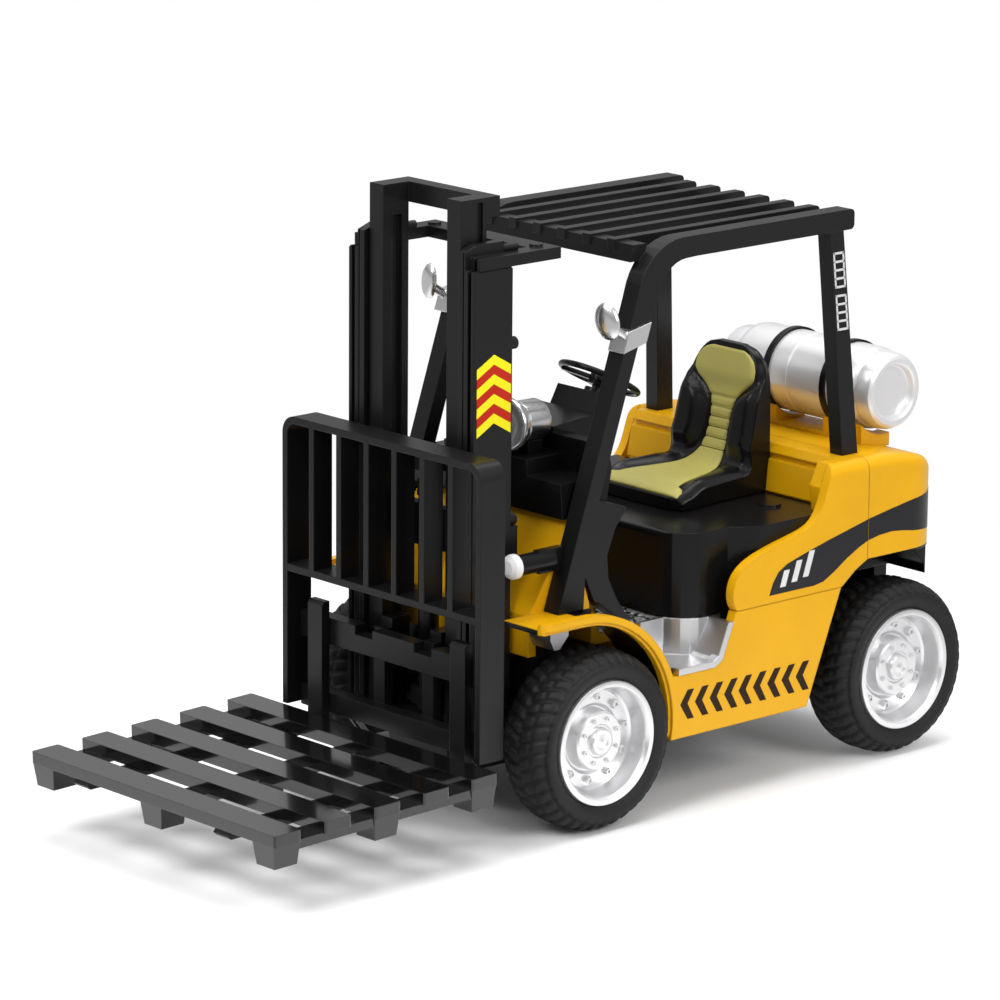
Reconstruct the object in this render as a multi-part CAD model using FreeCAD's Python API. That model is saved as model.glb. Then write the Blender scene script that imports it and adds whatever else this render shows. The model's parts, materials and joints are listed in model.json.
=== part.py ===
"""Toy forklift truck, built from separate named pieces.

Millimetres, +Z up. The truck faces -Y, its left side is +X. Pieces are drawn with Y = 0 on the
front axle and then moved by Y_SHIFT, so the origin is the middle of the whole outline at ground level.
"""
import FreeCAD, Part
import math
import os

V = FreeCAD.Vector
X_AXIS = V(1, 0, 0)
Y_AXIS = V(0, 1, 0)
Z_AXIS = V(0, 0, 1)

# ---------------------------------------------------------------- driving dimensions
WHEEL_R = 17.5                       # tyre radius, also the height of both axles
WHEELBASE = 80.5
TYRE_OUT = 34.8                      # outer wall of a tyre, from the centre plane
TYRE_IN = 22.6                       # inner wall of a tyre
RIM_R = 12.2
AXLE_R = 1.5
RUNNING_GAP = 0.06                   # radial gap of a shaft that turns in a hole
BODY_HALF = 33.0                     # body side, from the centre plane
SILL_Z = 14.3                        # lower edge of the body
SEAM_Z = 36.7                        # joint between the lower and the upper body
DECK_Z = 42.4                        # top of the raised lip along the front fenders
HOOD_Z = 61.4                        # top of the hood and of the counterweight
COUNTERWEIGHT_Y = 70.9               # front face of the counterweight
REAR_Y = 93.6                        # rear face of the counterweight
ROOF_Z = 109.7
GUARD_IN = 21.8                      # inner face of the guard's rails and front pillars
GUARD_OUT = 25.8
MAST_FRONT = -19.3                   # front face of the outer mast posts
MAST_TOP = 111.9
INNER_TOP = 120.0
INNER_HALF = 12.9                    # outer face of the inner mast posts
OUTER_HALF = 17.7                    # outer face of the outer mast posts
BACKREST_FRONT = -26.8
BACKREST_HALF = 28.4
BACKREST_TOP = 74.0
BACKREST_DEPTH = 6.0
CARRIAGE_BACK = -20.4
PALLET_HALF = 35.6
PALLET_FRONT = -82.2
PALLET_TOP = 16.75
PALLET_DROOP = 1.6                   # degrees, the forks and the pallet slope down towards the tips
Y_SHIFT = -7.9                       # brings the middle of the length to Y = 0
GAP = 0.1                            # air between pieces that lie against each other
TOP_ROUND = 2.4                      # rounding of the body's top outer edges


# ---------------------------------------------------------------- helpers
def box(x0, x1, y0, y1, z0, z1):
    return Part.makeBox(x1 - x0, y1 - y0, z1 - z0, V(x0, y0, z0))


def side_prism(points, x0, x1):
    """A solid with the side outline points, (y, z), between two X planes."""
    ring = [V(x0, y, z) for y, z in points]
    face = Part.Face(Part.makePolygon(ring + ring[:1]))
    return face.extrude(V(x1 - x0, 0, 0))


def plan_prism(points, z0, z1):
    """A solid with the plan outline points, (x, y), between two heights."""
    ring = [V(x, y, z0) for x, y in points]
    face = Part.Face(Part.makePolygon(ring + ring[:1]))
    return face.extrude(V(0, 0, z1 - z0))


def curved_prism(curve, corners, x0, x1):
    """Like side_prism, with a smooth curve through the points curve and straight edges through corners."""
    through = [V(x0, y, z) for y, z in curve]
    spline = Part.BSplineCurve()
    spline.interpolate(through)
    straight = Part.makePolygon([through[-1]] + [V(x0, y, z) for y, z in corners] + [through[0]])
    face = Part.Face(Part.Wire([spline.toShape()] + straight.Edges))
    return face.extrude(V(x1 - x0, 0, 0))


def arc(cy, cz, radius, start, end, steps=14):
    """Points of a round stretch of a side outline, angles in degrees from +Y towards +Z."""
    angles = [math.radians(start + (end - start) * i / steps) for i in range(steps + 1)]
    return [(cy + radius * math.cos(a), cz + radius * math.sin(a)) for a in angles]


def bar(axis, radius, start, length, x=0.0, y=0.0, z=0.0):
    """A round bar along axis; start is its first coordinate along that axis."""
    base = V(x, y, z) + axis * start
    return Part.makeCylinder(radius, length, base, axis)


def turned(points, centre, axis):
    """A solid of revolution. points are (along the axis, radius), closed back onto the axis."""
    ring = [V(0, r, a) for a, r in points]
    face = Part.Face(Part.makePolygon(ring + ring[:1]))
    solid = face.revolve(V(0, 0, 0), Z_AXIS, 360)
    solid.Placement = FreeCAD.Placement(centre, FreeCAD.Rotation(Z_AXIS, axis))
    return solid


def joined(solids):
    result = solids[0].fuse(solids[1:]) if len(solids) > 1 else solids[0]
    return result.removeSplitter()


def without(solid, tools):
    return solid.cut(tools).removeSplitter()


def mirrored(solid):
    return solid.mirror(V(0, 0, 0), X_AXIS)


def both_sides(solid):
    return [solid, mirrored(solid)]


def edges_along(solid, axis, keep):
    """Straight edges parallel to axis whose centre passes the test keep."""
    found = []
    for edge in solid.Edges:
        if edge.Curve.TypeId != "Part::GeomLine":
            continue
        along = abs(edge.tangentAt(edge.FirstParameter).dot(axis))
        if along > 0.999 and keep(edge.CenterOfMass):
            found.append(edge)
    return found


def rounded(solid, axis, radius, keep=lambda c: True):
    return solid.makeFillet(radius, edges_along(solid, axis, keep))


# ---------------------------------------------------------------- lower body, upper body, counterweight
ARCH_Y = -4.0                        # centre of the front wheel arch
ARCH_Z = 18.5
ARCH_R = 22.5
LIP = 1.4                            # thickness of the fender lip
FENDER_FRONT = -14.8
COWL_HALF = 21.6
COWL_FRONT = -8.6
COWL_TOP_Z = 58.0
APRON_TOP = 39.6                     # below this height only the cowl's front apron is left
FLOOR_Z = 34.6                       # top of the cab floor under the mat
SKIN = 2.0                           # wall thickness of the yellow shells
STEP_Z = 26.7                        # lower edge of the step opening
DECK_LOW = 41.4                      # deck surface inside the lip
SEAT_BASE_FRONT = 25.6
SEAT_BASE_HALF = 27.3
SEAT_BASE_CORNER = 7.0
SEAT_BASE_TOP = 51.9
REAR_ARCH_TOP = 41.2
RIGHT_SET_BACK = 8.4                 # the right side's wing starts this much further back than the left one
SKIRT_Z = 34.2                       # lower edge of the skirt behind the rear wheels


def fender_side_outline():
    inner = arc(ARCH_Y, ARCH_Z, ARCH_R, -10.8, 90)
    outer = arc(ARCH_Y, ARCH_Z, ARCH_R + LIP, 90, 20.1)
    front = [(FENDER_FRONT, ARCH_Z + ARCH_R), (FENDER_FRONT, DECK_Z)]
    step = [(29.2, STEP_Z), (31.4, STEP_Z + 1.0), (34.9, SEAM_Z)]
    rear = [(63.6, SEAM_Z), (54.7, SILL_Z)]
    return inner + front + outer + step + rear


def cowl_block(inset):
    """The cowl's outline, drawn inwards by inset; it runs on below the deck."""
    bottom = 33.0 - inset
    outline = [(COWL_FRONT + inset, bottom), (COWL_FRONT + inset, 41.0), (-6.9 + inset, 43.4),
               (2.4 + inset, COWL_TOP_Z - inset),
               (7.0 - inset, COWL_TOP_Z - inset), (7.0 - inset, 45.0), (9.6 - inset, FLOOR_Z),
               (9.6 - inset, bottom)]
    return side_prism(outline, -COWL_HALF + inset, COWL_HALF - inset)


def lower_body():
    side = side_prism(fender_side_outline(), BODY_HALF - SKIN, BODY_HALF)
    band_inner = arc(ARCH_Y, ARCH_Z, ARCH_R - 0.6, -9, 90) + [(FENDER_FRONT, ARCH_Z + ARCH_R - 0.6)]
    band_outer = [(FENDER_FRONT, DECK_LOW)] + arc(ARCH_Y, ARCH_Z, DECK_LOW - ARCH_Z, 90, -9)
    band = side_prism(band_inner + band_outer, COWL_HALF, BODY_HALF - 0.6)
    sill = box(24.0, BODY_HALF, 19.6, 54.0, SILL_Z, SILL_Z + SKIN)
    flange = joined([side, band])
    flange = rounded(flange, Z_AXIS, 1.8, lambda c: c.y < FENDER_FRONT + 0.1 and c.x > BODY_HALF - 0.1)
    halves = both_sides(joined([flange, sill]))
    behind_apron = box(-COWL_HALF - 1, COWL_HALF + 1, COWL_FRONT + SKIN, 7.6, 32.0, APRON_TOP)
    cowl = without(cowl_block(0.0), [cowl_block(SKIN), behind_apron])
    floor = box(-COWL_HALF, COWL_HALF, 8.6, 32.0, FLOOR_Z - SKIN, FLOOR_Z)
    wall = box(-BODY_HALF + SKIN, BODY_HALF - SKIN, 17.9, 19.6, SILL_Z, STEP_Z)
    rib_outline = [(2.0, 39.6), (2.1, 45.8), (2.4, 45.8), (3.6, 42.4), (3.9, 39.6)]
    rib = side_prism(rib_outline, GUARD_IN + 0.6, GUARD_OUT - 0.6)
    riser = box(-COWL_HALF + 1.0, COWL_HALF - 1.0, 17.9, 19.6, STEP_Z - 0.6, FLOOR_Z - 1.0)
    cross_tie = box(-24.5, 24.5, 46.0, 54.0, SILL_Z, SILL_Z + SKIN)
    bosses = [bar(Z_AXIS, 2.6, SILL_Z, 5.0, x=x, y=y) for x, y in screw_places()]
    body = joined(halves + both_sides(rib) + [cowl, floor, wall, riser, cross_tie] + bosses)
    return without(body, screw_solids(GAP))


def wing_curve(set_back):
    """Front edge of the body's side, from the seam up; set_back moves its steep top to the rear."""
    low = [(35.2, SEAM_Z + GAP), (34.1, 40.6), (35.3, 43.6), (38.4, 45.9), (42.4, 47.3), (47.5, 48.5),
           (52.6, 49.6)]
    steep = [(55.9, 51.0), (57.8, 53.4), (59.2, 57.0), (61.4, HOOD_Z)]
    return low + [(y + set_back, z) for y, z in steep]


def top_edge_cut(front):
    """What is cut from the body's left top edge, behind front, to round it."""
    x = BODY_HALF - TOP_ROUND
    z = HOOD_Z - TOP_ROUND
    length = REAR_Y - front
    corner = box(x, BODY_HALF + 1, front, REAR_Y, z, HOOD_Z + 1)
    return corner.cut(bar(Y_AXIS, TOP_ROUND, front, length, x=x, z=z))


def wing(set_back):
    """One side of the upper body, with a thick shoulder beside the hood."""
    back = COUNTERWEIGHT_Y - GAP
    corners = [(back, HOOD_Z), (back, REAR_ARCH_TOP), (67.6, 39.6), (63.8, SEAM_Z + GAP)]
    side = curved_prism(wing_curve(set_back), corners, BODY_HALF - SKIN, BODY_HALF)
    foot = 60.0 + set_back
    shoulder = side_prism([(foot - 0.8, 57.0), (foot + 1.4, HOOD_Z), (back, HOOD_Z), (back, 52.0),
                           (foot, 52.0)],
                          28.0, BODY_HALF)
    return without(joined([side, shoulder]), [top_edge_cut(50.0)])


def upper_body():
    back = COUNTERWEIGHT_Y - GAP
    hood_outline = [(63.8, 52.2), (65.0, 58.4), (66.0, 58.6), (66.0, 59.4), (65.3, 59.6), (66.4, HOOD_Z),
                    (back, HOOD_Z), (back, 52.2)]
    hood = side_prism(hood_outline, -28.2, 28.2)
    back_wall = box(-BODY_HALF + SKIN, BODY_HALF - SKIN, 66.8, back, REAR_ARCH_TOP, 53.0)
    body = joined([wing(0.0), mirrored(wing(RIGHT_SET_BACK)), hood, back_wall])
    return without(body, both_sides(guard_rear_post(GAP)))


def counterweight_block():
    """Outside of the counterweight: round corners in plan, a top that falls away to the rear, soft edges."""
    corner = 10.0
    plan = box(-BODY_HALF, BODY_HALF, COUNTERWEIGHT_Y, REAR_Y, SKIRT_Z, HOOD_Z + 1)
    plan = rounded(plan, Z_AXIS, corner, lambda c: c.y > REAR_Y - 0.1)
    fall = [(74.0, HOOD_Z), (80.0, HOOD_Z - 0.4), (85.0, HOOD_Z - 1.3), (89.6, HOOD_Z - 3.0),
            (REAR_Y - 1.4, HOOD_Z - 5.2), (REAR_Y + 1, HOOD_Z - 10.0)]
    side = curved_prism(fall, [(REAR_Y + 1, SKIRT_Z), (COUNTERWEIGHT_Y, SKIRT_Z),
                               (COUNTERWEIGHT_Y, HOOD_Z)],
                        -BODY_HALF - 1, BODY_HALF + 1)
    block = plan.common(side).removeSplitter()
    top_edges = [e for e in block.Edges if e.BoundBox.ZMin > 50.0 and e.CenterOfMass.y > COUNTERWEIGHT_Y + 0.1
                 and e.BoundBox.ZLength < 9.0 and abs(e.CenterOfMass.x) > 0.1]
    return block.makeFillet(TOP_ROUND, top_edges)


def counterweight():
    well_outline = [(COUNTERWEIGHT_Y - 1, 30), (COUNTERWEIGHT_Y - 1, REAR_ARCH_TOP), (84.0, REAR_ARCH_TOP),
                    (88.6, 39.4), (91.4, 36.0), (91.9, 30)]
    wells = both_sides(side_prism(well_outline, 19.0, BODY_HALF + 1))
    wells += both_sides(box(28.8, BODY_HALF + 1, 84.0, REAR_Y + 1, 30.0, REAR_ARCH_TOP - 0.4))
    tail = box(-18.0, 18.0, 88.4, 92.0, 17.0, 36.0)
    recess = box(-4.0, 4.0, 91.0, 95.0, 44.0, 50.0)
    plate_slot = box(-16.0 - GAP, 16.0 + GAP, 88.0, 93.0, 26.6 - GAP, 30.0 + GAP)
    hollows = wells + [recess, plate_slot, cradle_plate(GAP)] + both_sides(guard_rear_post(GAP))
    return without(joined([counterweight_block(), tail]), hollows)


# ---------------------------------------------------------------- chassis base and steering axle
BASE_BOTTOM = 12.0
WIDE_BOTTOM = 13.2                   # underside of the base plate's wide part, below the sills
SADDLE_X = 15.0
PIVOT_Y = -14.0                      # mast tilt pin
PIVOT_Z = 15.0
PIVOT_R = 1.25
STEER_PIN_R = 2.0


def chassis_base():
    spine = box(-18.5, 18.5, -7.6, 60.0, BASE_BOTTOM, SILL_Z - GAP)
    wide = plan_prism([(-30.4, 19.8), (30.4, 19.8), (30.4, 50.0), (25.0, 53.6), (-25.0, 53.6),
                       (-30.4, 50.0)],
                      WIDE_BOTTOM, SILL_Z - GAP)
    tongue = box(-8.4, 8.4, PIVOT_Y - 3.0, -6.0, BASE_BOTTOM, 19.0)
    rear_plate = box(-16.0, 16.0, 59.0, 92.0, 26.6, 30.0)
    drop = box(-16.0, 16.0, 57.0, 60.0, BASE_BOTTOM, 30.0)
    saddles = both_sides(box(SADDLE_X - 3.0, SADDLE_X + 3.4, -4.0, 4.0, BASE_BOTTOM, 24.0))
    axle_tower = box(-20.4, 20.4, COWL_FRONT + SKIN + GAP, 8.4, 23.0, FLOOR_Z - SKIN - GAP)
    base = joined([spine, wide, tongue, rear_plate, drop, axle_tower] + saddles)
    holes = [bar(X_AXIS, PIVOT_R, -10, 20, y=PIVOT_Y, z=PIVOT_Z)]
    holes.append(bar(X_AXIS, AXLE_R + RUNNING_GAP, -20, 40, y=0.0, z=WHEEL_R))
    holes.append(bar(Z_AXIS, STEER_PIN_R, 26.0, 5.0, y=WHEELBASE))
    holes += screw_solids(GAP)
    return without(base, holes)


def screw_places():
    return [(12.0, 18.75), (-12.0, 18.75), (12.0, 50.0), (-12.0, 50.0)]


def screw_solids(clearance):
    """Pan head screws that hold the base plate up into the lower body's bosses."""
    screws = []
    for x, y in screw_places():
        head = bar(Z_AXIS, 2.3 + clearance, BASE_BOTTOM - 0.2, 1.5, x=x, y=y)
        shank = bar(Z_AXIS, 1.1 + clearance, BASE_BOTTOM + 1.0, 5.0 + clearance, x=x, y=y)
        screws.append(joined([head, shank]))
    return screws


def base_screws():
    screws = []
    for (x, y), solid in zip(screw_places(), screw_solids(0.0)):
        slots = [box(x - 1.6, x + 1.6, y - 0.3, y + 0.3, BASE_BOTTOM - 0.4, BASE_BOTTOM + 0.4),
                 box(x - 0.3, x + 0.3, y - 1.6, y + 1.6, BASE_BOTTOM - 0.4, BASE_BOTTOM + 0.4)]
        screws.append(solid.cut(slots))
    return screws


def steer_pin():
    stem = bar(Z_AXIS, STEER_PIN_R, 20.4, 9.6, y=WHEELBASE)
    flange = bar(Z_AXIS, 3.2, 30.0, 1.2, y=WHEELBASE)
    return joined([stem, flange])


def steer_beam():
    beam = box(-18.6, 18.6, WHEELBASE - 3.6, WHEELBASE + 3.6, 13.6, 22.0)
    post = bar(Z_AXIS, 5.4, 21.0, 5.4, y=WHEELBASE)
    solid = joined([beam, post])
    bore = bar(X_AXIS, AXLE_R + RUNNING_GAP, -20, 40, y=WHEELBASE, z=WHEEL_R)
    socket = bar(Z_AXIS, STEER_PIN_R + RUNNING_GAP, 20.2, 8.0, y=WHEELBASE)
    return without(solid, [bore, socket])


# ---------------------------------------------------------------- wheels
RIM_IN = 23.6
SLEEVE_X = 18.8                      # inner end of the rim's sleeve
DISC_X = 29.4                        # face of the wheel disc
HUB_X = 32.8                         # face of the raised hub
BOLT_COUNT = 10
BOLT_CIRCLE = 8.0


def tyre(y):
    crown = 0.5
    shoulder = 1.9
    outline = [(TYRE_IN, RIM_R + 0.6), (TYRE_IN, WHEEL_R - shoulder), (TYRE_IN + shoulder, WHEEL_R - crown)]
    outline += [((TYRE_IN + TYRE_OUT) / 2, WHEEL_R), (TYRE_OUT - shoulder, WHEEL_R - crown)]
    outline += [(TYRE_OUT, WHEEL_R - shoulder), (TYRE_OUT, RIM_R + 0.6), (TYRE_OUT - 1.0, RIM_R),
                (TYRE_IN + 1.0, RIM_R)]
    return turned(outline, V(0, y, WHEEL_R), X_AXIS)


def rim(y):
    """Deep-dish rim with a raised hub and an inner sleeve that keeps it off the chassis."""
    lip = 1.1
    outline = [(SLEEVE_X, AXLE_R), (SLEEVE_X, 3.0), (26.6, 3.0), (26.6, RIM_R - lip - 0.8),
               (RIM_IN, RIM_R - lip - 0.4),
               (RIM_IN, RIM_R - GAP / 2), (TYRE_OUT - 0.4, RIM_R - GAP / 2), (TYRE_OUT - 0.1, RIM_R - 0.5),
               (TYRE_OUT - 0.6, RIM_R - lip), (DISC_X + 1.2, RIM_R - lip - 0.8),
               (DISC_X, RIM_R - lip - 1.6),
               (DISC_X, 5.2), (HUB_X, 4.8), (HUB_X, AXLE_R)]
    return turned(outline, V(0, y, WHEEL_R), X_AXIS)


def lug_bolts(y):
    bolts = []
    for i in range(BOLT_COUNT):
        angle = 2 * math.pi * i / BOLT_COUNT
        dy = BOLT_CIRCLE * math.cos(angle)
        dz = BOLT_CIRCLE * math.sin(angle)
        bolts.append(bar(X_AXIS, 0.8, DISC_X, 1.2, y=y + dy, z=WHEEL_R + dz))
    return bolts


def hub_cap(y):
    outline = [(HUB_X, 0), (HUB_X, 3.4), (HUB_X + 0.8, 3.4), (HUB_X + 1.2, 3.0), (HUB_X + 1.2, 1.6),
               (HUB_X + 1.6, 1.2),
               (HUB_X + 1.6, 0)]
    return turned(outline, V(0, y, WHEEL_R), X_AXIS)


def wheel_set(end, y):
    """Both wheels of an axle: a steel axle pressed into two rims, each with its tyre."""
    yield end + "_axle", [bar(X_AXIS, AXLE_R, -HUB_X, 2 * HUB_X, y=y, z=WHEEL_R)]
    yield from sided(end + "_tyre", tyre(y))
    yield from sided(end + "_rim", rim(y))
    bolts = lug_bolts(y)
    yield end + "_lug_bolts", bolts + [mirrored(bolt) for bolt in bolts]
    yield end + "_hub_caps", both_sides(hub_cap(y))


# ---------------------------------------------------------------- cab floor, steps, seat, dash
def rounded_front(half, front, corner):
    """Plan points of a front with two round corners, from the left side to the right."""
    points = []
    for step in range(7):
        angle = math.radians(90.0 * step / 6)
        points.append((half - corner + corner * math.cos(angle), front + corner - corner * math.sin(angle)))
    return points + [(-x, y) for x, y in reversed(points)]


def seat_base():
    """Black engine cover under the seat, with rounded front corners."""
    wide = BODY_HALF - SKIN - GAP
    front = rounded_front(SEAT_BASE_HALF, SEAT_BASE_FRONT, SEAT_BASE_CORNER)
    outline = [(wide, 63.6), (wide, 43.0), (SEAT_BASE_HALF, 38.0)] + front
    outline += [(-SEAT_BASE_HALF, 38.0), (-wide, 43.0), (-wide, 63.6)]
    block = plan_prism(outline, FLOOR_Z + 0.6, SEAT_BASE_TOP)
    block = rounded(block, X_AXIS, 1.2, lambda c: c.y < SEAT_BASE_FRONT + 0.1 and c.z > 51.0)
    filler_cap = bar(Z_AXIS, 2.3, SEAT_BASE_TOP - 0.5, 1.0, x=19.9, y=56.6)
    return joined([block, filler_cap])


def step_insert():
    """Plated foot step in the body side: floor, a wall that follows the engine cover, and a framing lip."""
    floor_z = STEP_Z + 0.4
    top = FLOOR_Z + 0.5
    outer = BODY_HALF - 0.6
    front = 19.7
    wall = 0.8
    face = COWL_HALF + GAP
    ring = rounded_front(SEAT_BASE_HALF, SEAT_BASE_FRONT, SEAT_BASE_CORNER)[:7]
    inner = rounded_front(SEAT_BASE_HALF - wall, SEAT_BASE_FRONT + wall, SEAT_BASE_CORNER - wall)[:7]
    ring = [p for p in ring if p[0] > face + wall]
    inner = [p for p in inner if p[0] > face]
    path = [(SEAT_BASE_HALF, 36.4)] + ring + [(face + wall, SEAT_BASE_FRONT + 0.1), (face + wall, front),
                                              (face, front)]
    path += [(face, SEAT_BASE_FRONT + 0.9)] + list(reversed(inner)) + [(SEAT_BASE_HALF - wall, 36.4)]
    back_wall = plan_prism(path, floor_z, top)
    floor = plan_prism([(face, front), (outer, front), (outer, 30.0), (SEAT_BASE_HALF - wall, 30.0),
                        (SEAT_BASE_HALF - wall, 33.0), (face, 27.0)], floor_z, floor_z + wall)
    rear_face = [(29.2, floor_z), (30.8, STEP_Z + 1.6), (34.1, top), (33.1, top), (30.0, STEP_Z + 1.8),
                 (29.2, floor_z + wall)]
    rear = side_prism(rear_face, SEAT_BASE_HALF - wall, outer)
    lip_outline = [(front, STEP_Z + GAP), (29.1, STEP_Z + GAP), (31.2, STEP_Z + 1.2), (34.8, SEAM_Z),
                   (33.4, SEAM_Z),
                   (30.2, STEP_Z + 2.2), (28.7, STEP_Z + 1.4), (front, STEP_Z + 1.4)]
    lip = side_prism(lip_outline, BODY_HALF - 1.6, BODY_HALF + 0.3)
    return without(joined([floor, back_wall, rear, lip]), [box(0, 40, 30, 40, top - GAP, 40)])


def tread_plate():
    """Chequered floor mat with small raised diamonds."""
    back = SEAT_BASE_FRONT - GAP
    plate = box(-COWL_HALF, COWL_HALF, 9.8, back, FLOOR_Z, FLOOR_Z + 0.4)
    studs = []
    pitch = 2.4
    for row in range(6):
        for column in range(17):
            x = pitch * (column - 8) + (pitch / 2 if row % 2 else 0)
            y = 11.4 + pitch * row
            stud = box(x - 0.8, x + 0.8, y - 0.25, y + 0.25, FLOOR_Z + 0.3, FLOOR_Z + 0.65)
            stud.rotate(V(x, y, 0), Z_AXIS, 45 if row % 2 else -45)
            studs.append(stud)
    return joined([plate] + studs)


SEAT_Z = SEAT_BASE_TOP + GAP
SEAT_HALF = 12.6


def seat_shell():
    """Bucket seat: a pan and a back in one moulding, with a hollow for the insert."""
    outline = [(38.4, SEAT_Z), (38.0, 54.6), (39.4, 57.0), (56.8, 56.6), (58.6, 60.0), (62.6, 78.4),
               (63.8, 80.4),
               (65.2, 80.6), (66.4, 79.0), (66.4, 68.0), (65.2, 60.0), (63.6, 54.6), (63.4, SEAT_Z)]
    shell = side_prism(outline, -SEAT_HALF, SEAT_HALF)
    shell = rounded(shell, Z_AXIS, 3.0, lambda c: c.z > 51.0)
    channel = [(37.0, 56.0), (59.6, 55.6), (64.0, 77.6), (59.0, 82.0), (37.0, 62.0)]
    corners = [side_prism([(50.0, 90.0), (50.0, 73.0), (70.0, 73.0), (70.0, 90.0)], 9.6, 14.0)]
    bevel = corners[0].copy()
    bevel.rotate(V(9.6, 60.0, 78.0), Y_AXIS, -32)
    return without(shell, [side_prism(channel, -7.2, 7.2)] + both_sides(bevel))


def seat_insert():
    """Ribbed cushion that lies in the hollow of the seat shell."""
    outline = [(39.0, 56.1), (59.5, 55.8), (63.8, 77.3), (61.8, 77.9), (57.8, 58.2), (55.8, 57.5),
               (40.2, 57.9)]
    return side_prism(outline, -7.0, 7.0)


def column_shroud():
    """Block round the upper column, drawn upright below the steering wheel's hub and then leaned back."""
    block = box(-5.5, 5.5, -4.6, 2.6, -17.0, -3.7)
    block.Placement = FreeCAD.Placement(WHEEL_HUB, FreeCAD.Rotation(Z_AXIS, column_axis()))
    return block


LAMP_BAY_HALF = 11.8                 # hollow in the console's front for the two headlamps
LAMP_BAY_Z = 68.2
CONSOLE_TOP = 71.6


def dash_console():
    """Black instrument console on top of the cowl, with a binnacle and a column shroud behind it."""
    outline = [(0.4, COWL_TOP_Z + GAP), (-0.6, 70.0), (3.0, CONSOLE_TOP), (12.0, CONSOLE_TOP), (13.0, 66.0),
               (9.4, COWL_TOP_Z - 10.0), (7.1, COWL_TOP_Z - 10.0), (7.1, COWL_TOP_Z + GAP)]
    low = side_prism(outline, -COWL_HALF + 0.6, COWL_HALF - 0.6)
    shelf = box(LAMP_BAY_HALF - 0.1, COWL_HALF, -2.0, 8.9, 65.0, 80.0)
    bay = box(-LAMP_BAY_HALF, LAMP_BAY_HALF, -2.0, 8.9, LAMP_BAY_Z, 80.0)
    binnacle = side_prism([(9.0, 62.0), (9.0, 72.8), (20.0, 73.6), (22.4, 72.4), (22.0, 66.4),
                           (14.0, 61.0)], -9.0, 9.0)
    return without(joined([without(low, [bay] + both_sides(shelf)), binnacle, column_shroud()]),
                   [column_bar(COLUMN_R + RUNNING_GAP)])


WHEEL_HUB = V(0, 29.3, 77.8)
COLUMN_R = 2.0
COLUMN_TILT = 29.0                   # degrees from upright, leaning towards the driver


def column_axis():
    lean = math.radians(COLUMN_TILT)
    return V(0, math.sin(lean), math.cos(lean))


def column_bar(radius):
    axis = column_axis()
    return Part.makeCylinder(radius, 34.0, WHEEL_HUB - axis * 34.0, axis)


def steering_column():
    axis = column_axis()
    tube = Part.makeCylinder(COLUMN_R, 30.0, WHEEL_HUB - axis * 32.4, axis)
    spigot = Part.makeCylinder(0.8, 3.4, WHEEL_HUB - axis * 2.6, axis)
    return joined([tube, spigot])


def steering_wheel():
    """Three-spoke wheel with a hub that turns on the column's spigot."""
    radius = 8.5
    thick = 0.6
    ring = Part.makeTorus(radius - thick, thick, V(0, 0, 0), Z_AXIS)
    hub = Part.makeCylinder(1.9, 2.2, V(0, 0, -1.6), Z_AXIS)
    parts = [ring, hub]
    for angle in (90, 210, 330):
        spoke = box(1.0, radius - 0.8, -0.7, 0.7, -0.8, 0.1)
        spoke.rotate(V(0, 0, 0), Z_AXIS, angle)
        parts.append(spoke)
    wheel = without(joined(parts), [Part.makeCylinder(0.8 + RUNNING_GAP, 2.6, V(0, 0, -1.8), Z_AXIS)])
    wheel.Placement = FreeCAD.Placement(WHEEL_HUB, FreeCAD.Rotation(Z_AXIS, column_axis()))
    return wheel


def control_levers():
    """Lift, tilt and side levers on the console, at the driver's right hand."""
    levers = []
    for x in (-10.1, -11.9, -13.7):
        stem = Part.makeCylinder(0.4, 5.0, V(x, 10.2, CONSOLE_TOP + GAP), V(0, 0.3, 0.95))
        foot = box(x - 0.7, x + 0.7, 9.4, 11.0, CONSOLE_TOP, CONSOLE_TOP + 0.8)
        knob = Part.makeSphere(0.8, V(x, 11.8, CONSOLE_TOP + 5.0))
        levers.append(joined([foot, stem, knob]))
    return levers


# ---------------------------------------------------------------- overhead guard
PILLAR_DEPTH = 3.4
REAR_POST_W = 3.3


def pillar_front(z):
    return -4.0 + 0.335 * (z - 44.0)


def guard_front_pillar():
    """Raked pillar that bends into the roof rail, with a gusset plate at its foot."""
    foot = DECK_LOW + GAP
    front = [(pillar_front(foot), foot), (pillar_front(62.0), 62.0), (pillar_front(99.0), 99.0)]
    outer_bend = arc(26.4, 97.9, 11.8, 160, 90, 7)
    inner_bend = arc(27.4, 98.6, 7.0, 92, 158, 6)
    top = outer_bend + [(30.0, ROOF_Z), (30.0, ROOF_Z - 4.0)] + inner_bend
    back = [(pillar_front(90.0) + PILLAR_DEPTH, 90.0), (pillar_front(62.0) + PILLAR_DEPTH, 62.0)]
    gusset = [(12.6, 59.6), (9.6, 56.0), (7.6, 51.0), (8.0, 46.4), (10.2, 42.2), (14.2, 36.6),
              (12.8, 36.6), (5.6, foot + 0.6)]
    notch = [(4.4, foot + 1.0), (2.0, 47.6), (1.6, foot)]
    return side_prism(front + top + back + gusset + notch, GUARD_IN, GUARD_OUT)


def guard_rear_post(extra=0.0):
    """Leaning rear post, wider apart at its foot than at the roof."""
    def ring(x, y, z, depth):
        x0 = x - extra
        x1 = x + REAR_POST_W + extra
        y0 = y - extra
        y1 = y + depth + extra
        return Part.makePolygon([V(x0, y0, z), V(x1, y0, z), V(x1, y1, z), V(x0, y1, z), V(x0, y0, z)])
    return Part.makeLoft([ring(24.6, 68.8, 57.0 - extra, 4.3), ring(22.4, 65.6, 107.0, 3.8)], True, True)


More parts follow.
